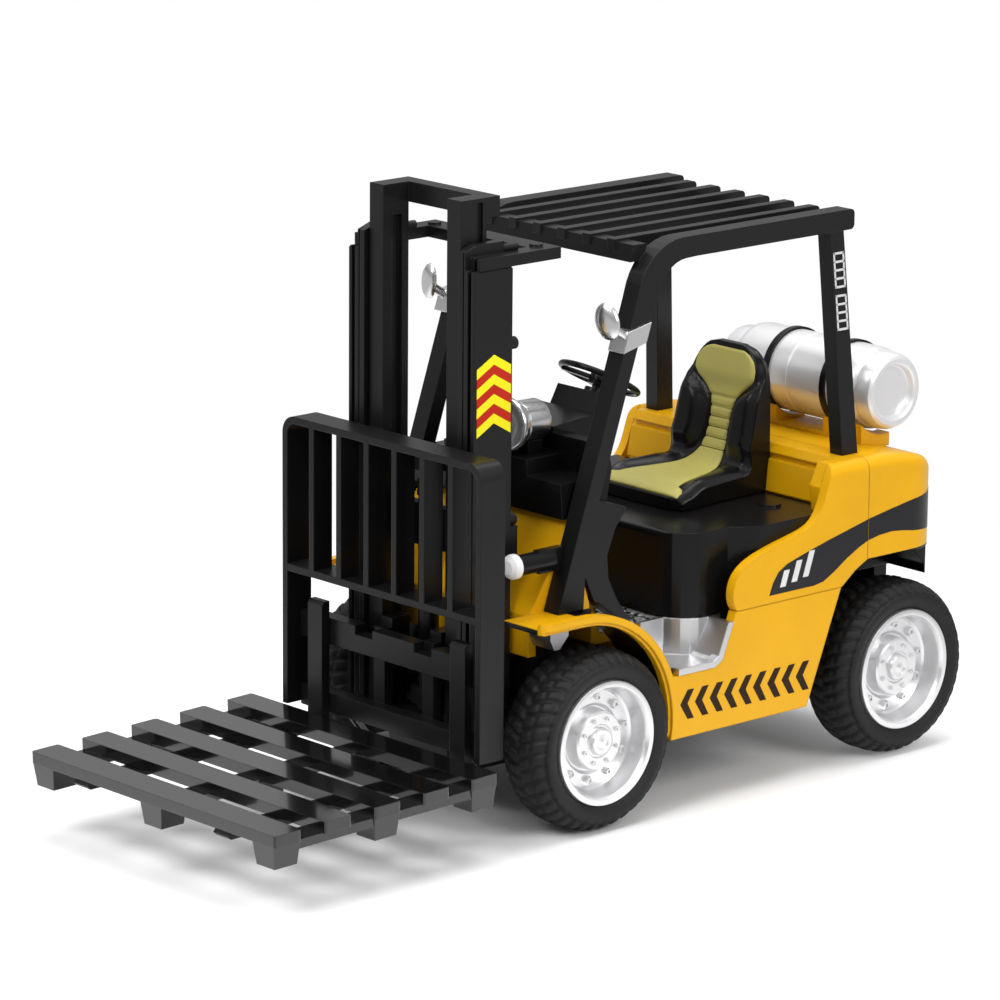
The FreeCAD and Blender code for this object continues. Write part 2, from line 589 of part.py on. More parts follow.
def roof_slats():
    slats = []
    pitch = 6.87
    tall = 2.1
    for i in range(6):
        x = pitch * (i - 2.5)
        slat = box(x - 1.05, x + 1.05, 15.6, 70.4, ROOF_Z - 0.2 - tall, ROOF_Z - 0.2)
        slats.append(rounded(slat, X_AXIS, 0.9, lambda c: c.y > 70.0))
    return slats


def overhead_guard():
    rail = box(GUARD_IN, GUARD_OUT, 28.0, 72.4, ROOF_Z - 4.0, ROOF_Z)
    rail = rounded(rail, X_AXIS, 1.0, lambda c: c.y > 72.0)
    side = joined([guard_front_pillar(), rail, guard_rear_post()])
    front_beam = side_prism([(15.4, 105.8), (16.2, 109.0), (19.4, 109.0), (19.4, 105.8)],
                            -GUARD_IN - 1.0, GUARD_IN + 1.0)
    rear_beam = box(-GUARD_IN - 1, GUARD_IN + 1, 64.0, 67.6, ROOF_Z - 4.4, ROOF_Z - 2.2)
    return joined(both_sides(side) + [front_beam, rear_beam] + roof_slats())


# ---------------------------------------------------------------- lamps and mirrors
HEADLAMP = V(5.9, -0.2, 74.0)        # centre of the left headlamp's lens
MARKER = V(22.4, -15.0, 51.6)        # centre of the left marker lamp's lens


def headlamp_bowl():
    """Plated bowl, open to the front, its lens set inside the rim."""
    outer = [(0, 5.2), (1.0, 5.2), (1.4, 4.6), (2.4, 4.1), (7.4, 4.0), (8.4, 3.5), (8.9, 2.4), (8.9, 0),
             (2.4, 0),
             (2.0, 2.6), (1.0, 4.5), (0, 4.5)]
    return turned(outer, HEADLAMP, Y_AXIS)


def headlamp_lens():
    outline = [(0.1, 0), (0.1, 3.2), (0.5, 4.4), (0.9, 4.4), (0.9, 0)]
    return turned(outline, HEADLAMP, Y_AXIS)


def headlamp_bracket():
    """Cradle under the bowl, standing on the floor of the console's lamp bay."""
    cradle = box(HEADLAMP.x - 2.6, HEADLAMP.x + 2.6, HEADLAMP.y + 3.2, HEADLAMP.y + 7.0, LAMP_BAY_Z,
                 HEADLAMP.z - 1.6)
    return without(cradle, [bar(Y_AXIS, 4.1 + GAP, -2.0, 12.0, x=HEADLAMP.x, z=HEADLAMP.z)])


def marker_lens():
    outline = [(0, 0), (0.2, 1.4), (0.8, 2.2), (1.4, 2.4), (2.2, 2.4), (2.2, 0)]
    return turned(outline, MARKER, Y_AXIS)


def fender_bracket():
    """Bare metal lug in the corner below the fender, beside the cowl's apron."""
    outline = [(-8.4, 40.2), (-8.4, 37.4), (-7.4, 35.4), (-6.0, 35.4), (-3.8, 37.8), (-3.8, 40.2)]
    return side_prism(outline, COWL_HALF + GAP, 27.6)


def marker_stem():
    stem = bar(Y_AXIS, 2.0, MARKER.y + 2.2, 9.0, x=MARKER.x, z=MARKER.z)
    foot = box(COWL_HALF + GAP, COWL_HALF + 1.8, -7.6, -1.4, 49.4, 53.8)
    return without(joined([stem, foot]), [cowl_block(0.0), guard_front_pillar()])


def mirror():
    """Oval mirror shell, turned a little outwards."""
    centre = V(25.2, 7.2, 95.9)
    shell = Part.makeCylinder(2.6, 1.3, V(0, -0.65, 0), Y_AXIS)
    stretch = FreeCAD.Matrix()
    stretch.A33 = 1.38
    shell = shell.transformGeometry(stretch)
    shell.rotate(V(0, 0, 0), Y_AXIS, -16)
    shell.rotate(V(0, 0, 0), Z_AXIS, 16)
    shell.translate(centre)
    return shell


def mirror_clip():
    """Band round the front pillar with a short arm to the mirror."""
    band = side_prism([(pillar_front(89.6) - 1.0, 89.6), (pillar_front(93.6) - 1.0, 93.6),
                       (pillar_front(94.8) + PILLAR_DEPTH + 1.0, 94.8),
                       (pillar_front(91.0) + PILLAR_DEPTH + 1.0, 91.0)],
                      GUARD_IN + 0.6, GUARD_OUT + 1.0)
    arm = Part.makeCylinder(0.9, 6.0, V(25.6, pillar_front(92.0) + 0.6, 92.0), V(0, -0.84, 0.54))
    return without(joined([band, arm]), [guard_front_pillar(), mirror()])


# ---------------------------------------------------------------- gas tank
TANK = V(0, 85.6, 71.2)
TANK_R = 8.3
TANK_END = 25.2                      # X of the foot ring, on the left side
TANK_NECK = -17.4                    # X of the collar round the valve, on the right side
STRAPS = (-2.6, 13.4)                # X of the two tank straps


def gas_tank():
    """Gas bottle lying across the counterweight: a foot ring at one end, a valve collar at the other."""
    foot = [(TANK_END - 1.4, 0), (TANK_END - 1.4, 5.2), (TANK_END - 0.2, 5.6), (TANK_END, 6.2),
            (TANK_END - 0.2, 7.0),
            (TANK_END - 1.2, 7.7), (TANK_END - 3.4, 7.9), (TANK_END - 4.0, 7.4), (TANK_END - 4.6, 7.9),
            (TANK_END - 6.4, TANK_R)]
    seam = [(3.6, TANK_R), (3.4, TANK_R - 0.15), (3.0, TANK_R - 0.15), (2.8, TANK_R)]
    neck = [(TANK_NECK + 6.4, TANK_R), (TANK_NECK + 4.6, 7.8), (TANK_NECK + 4.0, 7.1),
            (TANK_NECK + 0.8, 7.0), (TANK_NECK, 6.4),
            (TANK_NECK, 5.4), (TANK_NECK + 1.4, 5.0), (TANK_NECK + 1.4, 0)]
    return turned(foot + seam + neck, TANK, X_AXIS)


def tank_straps():
    straps = []
    for x in STRAPS:
        ring = bar(X_AXIS, TANK_R + 0.5, x - 0.7, 1.4, y=TANK.y, z=TANK.z)
        inner = bar(X_AXIS, TANK_R + 0.02, x - 1, 2, y=TANK.y, z=TANK.z)
        straps.append(without(ring, [inner, box(x - 2, x + 2, 70, 100, 60, 64.0)]))
    return straps


CRADLE_FRONT = TANK.y - 6.4
CRADLE_BACK = TANK.y + 1.6


def cradle_plate(extra):
    return box(-14.0 - extra, 22.4 + extra, CRADLE_FRONT - extra, CRADLE_BACK + extra,
               HOOD_Z - 1.6 - extra, HOOD_Z + 0.5)


def tank_cradle():
    """Saddle blocks under the bottle, on a plate let into the counterweight."""
    plate = cradle_plate(0.0)
    blocks = []
    for x in (STRAPS[0], STRAPS[1], -11.6, 20.8):
        blocks.append(box(x - 1.6, x + 1.6, CRADLE_FRONT, CRADLE_BACK, HOOD_Z + 0.2, 66.4))
    tool = bar(X_AXIS, TANK_R + 0.55, -26, 60, y=TANK.y, z=TANK.z)
    return without(joined([plate] + blocks), [tool])


def tank_valve():
    x = TANK_NECK + 1.4
    body = bar(X_AXIS, 1.5, x - 2.4, 2.4, y=TANK.y, z=TANK.z)
    knob = bar(Z_AXIS, 1.2, TANK.z + 1.0, 1.8, x=x - 1.3, y=TANK.y)
    return joined([body, knob])


# ---------------------------------------------------------------- mast, carriage, forks, pallet
INNER_FRONT = -18.3
INNER_BACK = -12.0
POST_IN = 9.0                        # inner face of the inner mast posts
OUTER_IN = 13.3                      # inner face of the outer mast posts
MAST_BACK = -9.7
INNER_TIE_BACK = -10.4               # rear face of the inner mast's lower ties
CYLINDER_Y = -14.5                   # axis of the lift ram
CYLINDER_FOOT = 19.6
CYLINDER_TOP = 64.6
ROD_FOOT = 20.8
ROD_R = 1.1
ARM_BOTTOM = 107.5                   # arms that lean back from the outer mast's top
ARM_TOP = 109.7
ROD_TOP = 69.4                       # top of the tie that the ram lifts


def outer_mast():
    """Fixed mast frame: two channels open towards the middle, a top tie and a bottom tie."""
    post = box(OUTER_IN, OUTER_HALF, MAST_FRONT, MAST_BACK, 12.0, MAST_TOP)
    channel = box(OUTER_IN - 1, OUTER_IN + 1.5, MAST_FRONT + 2.2, MAST_BACK - 2.4, 24.0, MAST_TOP - 4.5)
    eye = bar(X_AXIS, PIVOT_R + RUNNING_GAP, OUTER_IN - 1, 8.0, y=PIVOT_Y, z=PIVOT_Z)
    foot = side_prism([(MAST_FRONT - 1, 11.0), (MAST_FRONT - 1, 16.0), (MAST_FRONT + 3.0, 11.0)],
                      OUTER_IN - 1, OUTER_HALF + 1)
    cap = side_prism([(MAST_FRONT - 1, MAST_TOP + 1), (MAST_FRONT - 1, MAST_TOP - 1.4),
                      (MAST_FRONT + 5.6, MAST_TOP + 1)],
                     OUTER_IN - 1, OUTER_HALF + 1)
    grooves = [box(OUTER_HALF - 1.7, OUTER_HALF - 0.8, MAST_FRONT - 1, MAST_FRONT + 2.6, 10.0,
                   MAST_TOP + 1),
               box(OUTER_HALF - 3.1, OUTER_HALF - 2.8, MAST_FRONT - 1, MAST_FRONT + 0.5, 10.0,
                   MAST_TOP + 1)]
    layer = OUTER_HALF - 2.5
    outer_layer = [box(layer, OUTER_HALF + 1, MAST_FRONT - 1, MAST_BACK + 1, ARM_TOP, MAST_TOP + 1),
                   box(layer, OUTER_HALF + 1, MAST_FRONT - 1, MAST_FRONT + 1.4, ARM_BOTTOM, MAST_TOP + 1),
                   box(OUTER_HALF - 0.3, OUTER_HALF + 1, MAST_FRONT - 1, MAST_BACK, ARM_BOTTOM - 0.3,
                       ARM_BOTTOM)]
    post = without(post, [channel, eye, foot, cap] + grooves + outer_layer)
    pegs = [bar(Y_AXIS, 1.2, MAST_BACK - 0.2, 2.2, x=OUTER_HALF - 1.6, z=z) for z in (92.6, 58.8)]
    arm = box(OUTER_HALF - 3.8, OUTER_HALF, MAST_BACK - 1, 2.4, ARM_BOTTOM, ARM_TOP)
    side = joined([post, arm] + pegs)
    rear_bar = box(-OUTER_HALF, OUTER_HALF, -2.8, 2.4, ARM_BOTTOM, ARM_TOP)
    rear_bar = rounded(rear_bar, Z_AXIS, 1.2, lambda c: c.y > 2.0)
    pipe = bar(Y_AXIS, 0.8, MAST_BACK - 3.6, 7.4, x=OUTER_HALF - 3.4, z=ARM_TOP + 0.6)
    nut = bar(Z_AXIS, 1.3, ARM_TOP - 0.5, 1.0, x=OUTER_HALF - 3.4, y=-0.8)
    bottom_tie = box(-OUTER_HALF, OUTER_HALF, -12.0, MAST_BACK, 20.4, 24.4)
    middle_tie = box(-OUTER_HALF, OUTER_HALF, INNER_TIE_BACK + 0.2, -8.0, 49.6, 57.8)
    return joined(both_sides(joined([side, pipe, nut])) + [rear_bar, bottom_tie, middle_tie])


def inner_mast():
    """Sliding mast frame inside the outer one."""
    post = box(POST_IN, INNER_HALF, INNER_FRONT, INNER_BACK, 18.6, INNER_TOP)
    groove = box(POST_IN - 1, POST_IN + 1.0, INNER_FRONT + 2.2, INNER_BACK - 1.6, 18.0, INNER_TOP - 6.0)
    side_groove = box(INNER_HALF - 0.7, INNER_HALF + 1, -14.4, -12.9, 48.0, INNER_TOP - 0.8)
    slider = box(INNER_HALF - 0.5, OUTER_IN + 1.3, MAST_FRONT + 2.6, MAST_BACK - 2.8, 32.0, 46.0)
    side = joined([without(post, [groove, side_groove]), slider])
    ties = [box(-INNER_HALF, INNER_HALF, INNER_BACK, MAST_BACK + 1.0, INNER_TOP - 3.9, INNER_TOP),
            box(-INNER_HALF, INNER_HALF, INNER_BACK - 0.1, INNER_TIE_BACK, 26.0, 30.0),
            box(-INNER_HALF, INNER_HALF, INNER_BACK - 0.1, INNER_TIE_BACK, ROD_TOP - 3.4, ROD_TOP),
            box(-2.4, 2.4, CYLINDER_Y - 1.9, INNER_BACK, ROD_TOP - 3.0, ROD_TOP)]
    rod_hole = bar(Z_AXIS, ROD_R, ROD_TOP - 4.0, 3.0, y=CYLINDER_Y)
    return without(joined(both_sides(side) + ties), [rod_hole])


def lift_cylinder():
    """Barrel of the lift ram, standing in front of the outer mast's bottom tie."""
    barrel = bar(Z_AXIS, 2.0, CYLINDER_FOOT, CYLINDER_TOP - CYLINDER_FOOT, y=CYLINDER_Y)
    collar = bar(Z_AXIS, 2.3, CYLINDER_TOP - 3.0, 3.0, y=CYLINDER_Y)
    foot = box(-2.8, 2.8, CYLINDER_Y - 2.0, INNER_BACK, CYLINDER_FOOT + 1.0, 24.2)
    bore = bar(Z_AXIS, ROD_R + RUNNING_GAP, ROD_FOOT - 0.4, CYLINDER_TOP, y=CYLINDER_Y)
    return without(joined([barrel, collar, foot]), [bore])


def lift_rod():
    """Ram rod pressed into the inner mast's rod tie."""
    return bar(Z_AXIS, ROD_R, ROD_FOOT, ROD_TOP - 1.0 - ROD_FOOT, y=CYLINDER_Y)


def carriage_frame():
    """Two cross bars on a pair of side plates, with guide blocks between the inner posts."""
    front = BACKREST_FRONT + 3.4
    reach = BACKREST_HALF - 1.4
    upper = box(-reach, reach, front, CARRIAGE_BACK, 30.0, 35.2)
    notches = [box(x, x + 5.0, front - 1, CARRIAGE_BACK + 1, 33.5, 36.0) for x in (-11.0, 6.0)]
    lower = box(-reach, reach, front, CARRIAGE_BACK, 16.4, 20.4)
    plates = []
    for x in (5.4, -8.6):
        plates.append(box(x, x + 3.2, CARRIAGE_BACK - 0.4, INNER_FRONT - 0.4, 16.4, 35.2))
        plates.append(box(x, x + 3.2, INNER_FRONT - 0.6, INNER_BACK - 2.4, 27.0, 37.0))
    sliders = [box(8.0, POST_IN + 0.8, INNER_FRONT + 2.5, INNER_BACK - 1.9, 28.0, 36.0)]
    sliders.append(mirrored(sliders[0]))
    return joined([without(upper, notches), lower] + plates + sliders)


def load_backrest():
    """Welded grid of thin flat bars above the carriage."""
    bar_w = 1.4
    depth = BACKREST_DEPTH
    back = BACKREST_FRONT + depth
    mid_top = 44.9
    outer = box(-BACKREST_HALF, BACKREST_HALF, BACKREST_FRONT, back, 17.0, BACKREST_TOP)
    outer = rounded(outer, Y_AXIS, 3.4, lambda c: c.z > 70.0)
    inner = box(-BACKREST_HALF + bar_w, BACKREST_HALF - bar_w, BACKREST_FRONT - 1, back + 1, 10.0,
                BACKREST_TOP - bar_w)
    inner = rounded(inner, Y_AXIS, 2.2, lambda c: c.z > 70.0)
    frame = without(outer, [inner])
    mid = box(-BACKREST_HALF + 0.5, BACKREST_HALF - 0.5, BACKREST_FRONT, back, mid_top - bar_w, mid_top)
    pitch = 7.95
    bars = []
    for i in range(6):
        x = pitch * (i - 2.5)
        bars.append(box(x - bar_w / 2, x + bar_w / 2, BACKREST_FRONT, back - 1.4, mid_top - 0.5,
                        BACKREST_TOP - 0.5))
    return joined([frame, mid] + bars)


FORK_IN = 18.4
FORK_OUT = 22.6
DECK_THICK = 2.3


def sloped(solid):
    """Tilts a piece drawn level to the slope of the forks."""
    middle = V(0, PALLET_FRONT + 23.6, PALLET_TOP)
    solid.rotate(middle, X_AXIS, PALLET_DROOP)
    return solid


def fork():
    """L-shaped fork: a shank in front of the carriage bars and a tapered tine."""
    front = BACKREST_FRONT + 1.4
    face = front + 1.9
    tine_top = PALLET_TOP - DECK_THICK - GAP
    tine = [(front + 1.2, tine_top), (PALLET_FRONT + 0.4, tine_top), (PALLET_FRONT - 0.2, tine_top - 0.7),
            (PALLET_FRONT + 0.6, tine_top - 1.4), (front + 1.2, tine_top - 1.9)]
    blade = sloped(side_prism(tine, FORK_IN, FORK_OUT))
    shank = side_prism([(front, 15.0), (front, 38.0), (front + 0.6, 38.6), (face, 38.6), (face, 14.2),
                        (front + 0.8, 13.4),
                        (front - 0.8, 13.4)], FORK_IN, FORK_OUT)
    return joined([blade, shank])


def pallet():
    """Five deck boards on three stringers with nine tapered feet, one moulding."""
    pitch = 11.8
    width = 6.3
    top = PALLET_TOP
    deck = top - DECK_THICK
    parts = []
    for i in range(5):
        y = PALLET_FRONT + pitch * i
        board = box(-PALLET_HALF, PALLET_HALF, y, y + width, deck, top)
        parts.append(rounded(board, Z_AXIS, 0.5))
    rear = PALLET_FRONT + 4 * pitch + width
    for x in (-PALLET_HALF + 3.4, 0.0, PALLET_HALF - 3.4):
        parts.append(box(x - 2.8, x + 2.8, PALLET_FRONT + 0.4, rear - 0.4, deck - 1.5, deck + 0.2))
        for row in (0, 2, 4):
            y = PALLET_FRONT + pitch * row
            parts.append(tapered_foot(x, y + width / 2, deck, 6.6))
    return sloped(joined(parts))


def tapered_foot(x, y, z, height):
    def ring(half_x, half_y, level):
        return Part.makePolygon([V(x - half_x, y - half_y, level), V(x + half_x, y - half_y, level),
                                 V(x + half_x, y + half_y, level), V(x - half_x, y + half_y, level),
                                 V(x - half_x, y - half_y, level)])
    return Part.makeLoft([ring(2.5, 2.6, z - height + 2.3), ring(3.1, 3.05, z + 0.2)], True, True)


# ---------------------------------------------------------------- all pieces
def sided(name, solid):
    yield name + "_left", [solid]
    yield name + "_right", [mirrored(solid)]


def pieces():
    yield "chassis_base", [chassis_base()]
    yield "base_screws", base_screws()
    yield "lower_body", [lower_body()]
    yield "upper_body", [upper_body()]
    yield "counterweight", [counterweight()]
    yield "seat_base", [seat_base()]
    yield "seat_shell", [seat_shell()]
    yield "seat_insert", [seat_insert()]
    yield "tread_plate", [tread_plate()]
    yield from sided("step_insert", step_insert())
    yield "dash_console", [dash_console()]
    yield "steering_column", [steering_column()]
    yield "steering_wheel", [steering_wheel()]
    yield "control_levers", control_levers()
    yield "overhead_guard", [overhead_guard()]
    yield from sided("headlamp_bowl", headlamp_bowl())
    yield from sided("headlamp_lens", headlamp_lens())
    yield "headlamp_brackets", both_sides(headlamp_bracket())
    yield from sided("marker_lens", marker_lens())
    yield from sided("marker_stem", marker_stem())
    yield "fender_brackets", both_sides(fender_bracket())
    yield from sided("mirror", mirror())
    yield from sided("mirror_clip", mirror_clip())
    yield "gas_tank", [gas_tank()]
    yield "tank_straps", tank_straps()
    yield "tank_cradle", [tank_cradle()]
    yield "tank_valve", [tank_valve()]
    yield from wheel_set("front", 0.0)
    yield "steer_pin", [steer_pin()]
    yield "steer_beam", [steer_beam()]
    yield from wheel_set("rear", WHEELBASE)
    yield "mast_pivot_pin", [bar(X_AXIS, PIVOT_R, -OUTER_HALF, 2 * OUTER_HALF, y=PIVOT_Y, z=PIVOT_Z)]
    yield "outer_mast", [outer_mast()]
    yield "lift_cylinder", [lift_cylinder()]
    yield "inner_mast", [inner_mast()]
    yield "lift_rod", [lift_rod()]
    yield "carriage_frame", [carriage_frame()]
    yield "load_backrest", [load_backrest()]
    yield from sided("fork", fork())
    yield "pallet", [pallet()]


def main():
    os.makedirs("parts", exist_ok=True)
    for node, solids in pieces():
        shape = solids[0] if len(solids) == 1 else Part.makeCompound(solids)
        shape = shape.copy()
        shape.translate(V(0, Y_SHIFT, 0))
        shape.exportStep("parts/" + node + ".step")
        limits = shape.BoundBox
        print(node, len(shape.Solids), shape.isValid(), round(limits.YMin, 3), round(limits.YMax, 3),
              round(limits.ZMin, 3))


main()
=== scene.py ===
"""Toy forklift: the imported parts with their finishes, and finer meshes for the tyres, wheels, seat, lamps,
tank and stickers. Lengths in the functions are millimetres from the middle of the front axle, X to the
truck's left, Y to its rear and Z up from the ground."""
import bpy
import json
import math
from mathutils import Matrix, Vector


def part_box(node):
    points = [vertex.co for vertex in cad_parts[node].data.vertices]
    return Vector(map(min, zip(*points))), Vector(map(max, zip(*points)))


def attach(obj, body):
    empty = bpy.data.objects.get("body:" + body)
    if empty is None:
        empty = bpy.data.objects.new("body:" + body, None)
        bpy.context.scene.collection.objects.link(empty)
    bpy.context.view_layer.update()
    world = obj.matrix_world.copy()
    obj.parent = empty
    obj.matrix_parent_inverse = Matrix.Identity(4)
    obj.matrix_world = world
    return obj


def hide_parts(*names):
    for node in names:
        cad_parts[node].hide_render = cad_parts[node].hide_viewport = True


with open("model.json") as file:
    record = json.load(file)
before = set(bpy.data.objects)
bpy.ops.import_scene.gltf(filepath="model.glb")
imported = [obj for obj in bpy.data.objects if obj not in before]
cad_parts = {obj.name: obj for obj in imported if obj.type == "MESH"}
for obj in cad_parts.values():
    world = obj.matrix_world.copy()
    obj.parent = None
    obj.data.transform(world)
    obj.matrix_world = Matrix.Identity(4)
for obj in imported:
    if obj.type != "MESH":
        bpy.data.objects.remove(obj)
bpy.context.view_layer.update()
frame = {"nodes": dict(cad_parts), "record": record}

MM = 0.001
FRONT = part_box("front_axle")
AXLE_Y = (FRONT[0].y + FRONT[1].y) / 2 / MM
WHEEL_Z = (FRONT[0].z + FRONT[1].z) / 2 / MM
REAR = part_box("rear_axle")
REAR_Y = (REAR[0].y + REAR[1].y) / 2 / MM - AXLE_Y
BODY_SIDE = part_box("lower_body")[1].x / MM


def at(x, y, z):
    """A point given in millimetres from the front axle's middle, in the frame's metres."""
    return Vector((x * MM, (y + AXLE_Y) * MM, z * MM))


# ---------------------------------------------------------------- finishes
def new_material(name):
    material = bpy.data.materials.new(name)
    material.use_nodes = True
    tree = material.node_tree
    return material, tree, tree.nodes["Principled BSDF"]


def add_noise(tree, scale, detail=3.0):
    coords = tree.nodes.new("ShaderNodeTexCoord")
    noise = tree.nodes.new("ShaderNodeTexNoise")
    noise.inputs["Scale"].default_value = scale
    noise.inputs["Detail"].default_value = detail
    tree.links.new(coords.outputs["Object"], noise.inputs["Vector"])
    return noise


def shade_variation(tree, shader, colour, amount, scale):
    """The colour wanders a little lighter and darker over the surface."""
    noise = add_noise(tree, scale)
    ramp = tree.nodes.new("ShaderNodeValToRGB")
    dark = [max(0.0, c * (1 - amount)) for c in colour]
    light = [min(1.0, c * (1 + amount)) for c in colour]
    ramp.color_ramp.elements[0].color = (*dark, 1)
    ramp.color_ramp.elements[1].color = (*light, 1)
    ramp.color_ramp.elements[0].position = 0.35
    ramp.color_ramp.elements[1].position = 0.65
    tree.links.new(noise.outputs["Fac"], ramp.inputs["Fac"])
    tree.links.new(ramp.outputs["Color"], shader.inputs["Base Color"])


def soft_edges(tree, shader, radius, grain, grain_scale):
    """Rounded-looking edges, with a fine moulded grain on top."""
    edge = tree.nodes.new("ShaderNodeBevel")
    edge.samples = 4
    edge.inputs["Radius"].default_value = radius * MM
    bump = tree.nodes.new("ShaderNodeBump")
    bump.inputs["Strength"].default_value = grain
    bump.inputs["Distance"].default_value = 0.05 * MM
    noise = add_noise(tree, grain_scale, 2.0)
    tree.links.new(noise.outputs["Fac"], bump.inputs["Height"])
    tree.links.new(edge.outputs["Normal"], bump.inputs["Normal"])
    tree.links.new(bump.outputs["Normal"], shader.inputs["Normal"])


def finish(name, colour, rough, metal=0.0, coat=0.0, edge=0.2, grain=0.15, grain_scale=1500.0, vary=0.06,
           shine=0.5):
    material, tree, shader = new_material(name)
    shader.inputs["Base Color"].default_value = (*colour, 1)
    shader.inputs["Roughness"].default_value = rough
    shader.inputs["Metallic"].default_value = metal
    shader.inputs["Specular IOR Level"].default_value = shine
    shader.inputs["Coat Weight"].default_value = coat
    shader.inputs["Coat Roughness"].default_value = 0.08
    shade_variation(tree, shader, colour, vary, 60.0)
    soft_edges(tree, shader, edge, grain, grain_scale)
    return material


def clear_finish(name, colour, rough, transmission):
    material, tree, shader = new_material(name)
    shader.inputs["Base Color"].default_value = (*colour, 1)
    shader.inputs["Roughness"].default_value = rough
    shader.inputs["Transmission Weight"].default_value = transmission
    shader.inputs["IOR"].default_value = 1.45
    noise = add_noise(tree, 900.0)
    bump = tree.nodes.new("ShaderNodeBump")
    bump.inputs["Strength"].default_value = 0.05
    bump.inputs["Distance"].default_value = 0.05 * MM
    tree.links.new(noise.outputs["Fac"], bump.inputs["Height"])
    tree.links.new(bump.outputs["Normal"], shader.inputs["Normal"])
    return material


SLOTS = {
    "yellow_body": finish("enamel_yellow", (0.71, 0.362, 0.003), 0.3, coat=0.08, edge=0.5, grain=0.05,
                          vary=0.03, shine=0.2),
    "black_frame": finish("satin_black", (0.007, 0.007, 0.0075), 0.34, edge=0.3, grain=0.2, shine=0.27),
    "black_gloss": finish("gloss_black", (0.005, 0.005, 0.0055), 0.24, edge=0.3, grain=0.08, shine=0.22),
    "seat_black": finish("seat_black", (0.004, 0.004, 0.004), 0.26, edge=0.3, grain=0.12, shine=0.25),
    "seat_olive": finish("seat_olive", (0.46, 0.41, 0.10), 0.5, edge=0.2, grain=0.4, vary=0.05),
    "plated": finish("plated_trim", (0.74, 0.74, 0.75), 0.24, metal=1.0, edge=0.3, grain=0.05, vary=0.02),
    "wheel_chrome": finish("plated_wheel", (0.79, 0.79, 0.8), 0.3, metal=0.9, edge=0.15, grain=0.08,
                           vary=0.02),
    "tyre_rubber": finish("rubber", (0.009, 0.009, 0.0095), 0.55, edge=0.15, grain=0.4, vary=0.15,
                          shine=0.25),
    "steel": finish("steel", (0.42, 0.42, 0.43), 0.4, metal=1.0, edge=0.1, grain=0.1),
    "tank_silver": finish("tank_silver", (0.8, 0.8, 0.81), 0.3, metal=0.5, edge=0.2, grain=0.05, vary=0.02),
    "mat_grey": finish("mat_grey", (0.05, 0.05, 0.055), 0.4, edge=0.1, grain=0.3),
    "lamp_glass": clear_finish("lamp_glass", (0.95, 0.96, 0.97), 0.05, 0.9),
}
PALLET_BLACK = finish("pallet_black", (0.004, 0.004, 0.0043), 0.2, coat=1.0, edge=0.35, grain=0.12,
                      shine=0.2)
STEP_PLATED = finish("plated_step", (0.64, 0.64, 0.65), 0.36, metal=1.0, edge=0.3, grain=0.05, vary=0.02)
MILKY = clear_finish("milky_lens", (0.85, 0.85, 0.85), 0.3, 0.1)
STRIPE_BLACK = finish("sticker_black", (0.010, 0.010, 0.012), 0.3, edge=0.05, grain=0.05, shine=0.3)
STRIPE_BROWN = finish("sticker_brown", (0.020, 0.009, 0.002), 0.45, edge=0.05, grain=0.05, shine=0.15)
STICKER_YELLOW = finish("sticker_yellow", (0.84, 0.76, 0.01), 0.45, edge=0.05, grain=0.05, shine=0.2)
STICKER_RED = finish("sticker_red", (0.47, 0.018, 0.005), 0.45, edge=0.05, grain=0.05, shine=0.2)
STICKER_WHITE = finish("sticker_white", (0.66, 0.66, 0.66), 0.4, edge=0.05, grain=0.05)


# ---------------------------------------------------------------- mesh helpers
def make_object(name, verts, faces, material, smooth=True):
    mesh = bpy.data.meshes.new(name)
    mesh.from_pydata([tuple(v) for v in verts], [], faces)
    mesh.validate()
    mesh.update()
    thing = bpy.data.objects.new(name, mesh)
    bpy.context.scene.collection.objects.link(thing)
    mesh.materials.append(material)
    for face in mesh.polygons:
        face.use_smooth = smooth
    return thing


def smooth_by_angle(thing, degrees=35.0):
    """Marks the sharp edges of a smooth-shaded mesh."""
    mesh = thing.data
    limit = math.radians(degrees)
    normals = {}
    for face in mesh.polygons:
        for key in face.edge_keys:
            normals.setdefault(key, []).append(face.normal)
    for edge in mesh.edges:
        pair = normals.get(tuple(sorted(edge.vertices)), [])
        if len(pair) != 2:
            continue
        edge.use_edge_sharp = pair[0].angle(pair[1], 0.0) > limit
    return thing


def frame_on(axis):
    """Two directions square to axis."""
    axis = Vector(axis).normalized()
    helper = Vector((0, 0, 1)) if abs(axis.z) < 0.9 else Vector((1, 0, 0))
    side = axis.cross(helper).normalized()
    return axis, side, axis.cross(side)


def lathe(name, centre, axis, profile, material, steps=96, sharp=30.0):
    """A solid of revolution round axis. profile is a list of (reach, radius) in millimetres."""
    axis, side, up = frame_on(axis)
    verts = []
    faces = []
    for reach, radius in profile:
        for i in range(steps):
            angle = 2 * math.pi * i / steps
            offset = axis * reach + side * (radius * math.cos(angle)) + up * (radius * math.sin(angle))
            verts.append(centre + offset * MM)
    for ring in range(len(profile) - 1):
        for i in range(steps):
            j = (i + 1) % steps
            a = ring * steps
            b = a + steps
            faces.append((a + i, a + j, b + j, b + i))
    return smooth_by_angle(make_object(name, verts, faces, material), sharp)


def sheet(name, outline, offset, material):
    """A thin sticker: outline points in the frame, thickened along offset."""
    count = len(outline)
    verts = list(outline) + [p + offset for p in outline]
    faces = [tuple(range(count, 2 * count)), tuple(reversed(range(count)))]
    for i in range(count):
        j = (i + 1) % count
        faces.append((i, j, count + j, count + i))
    return make_object(name, verts, faces, material, smooth=False)


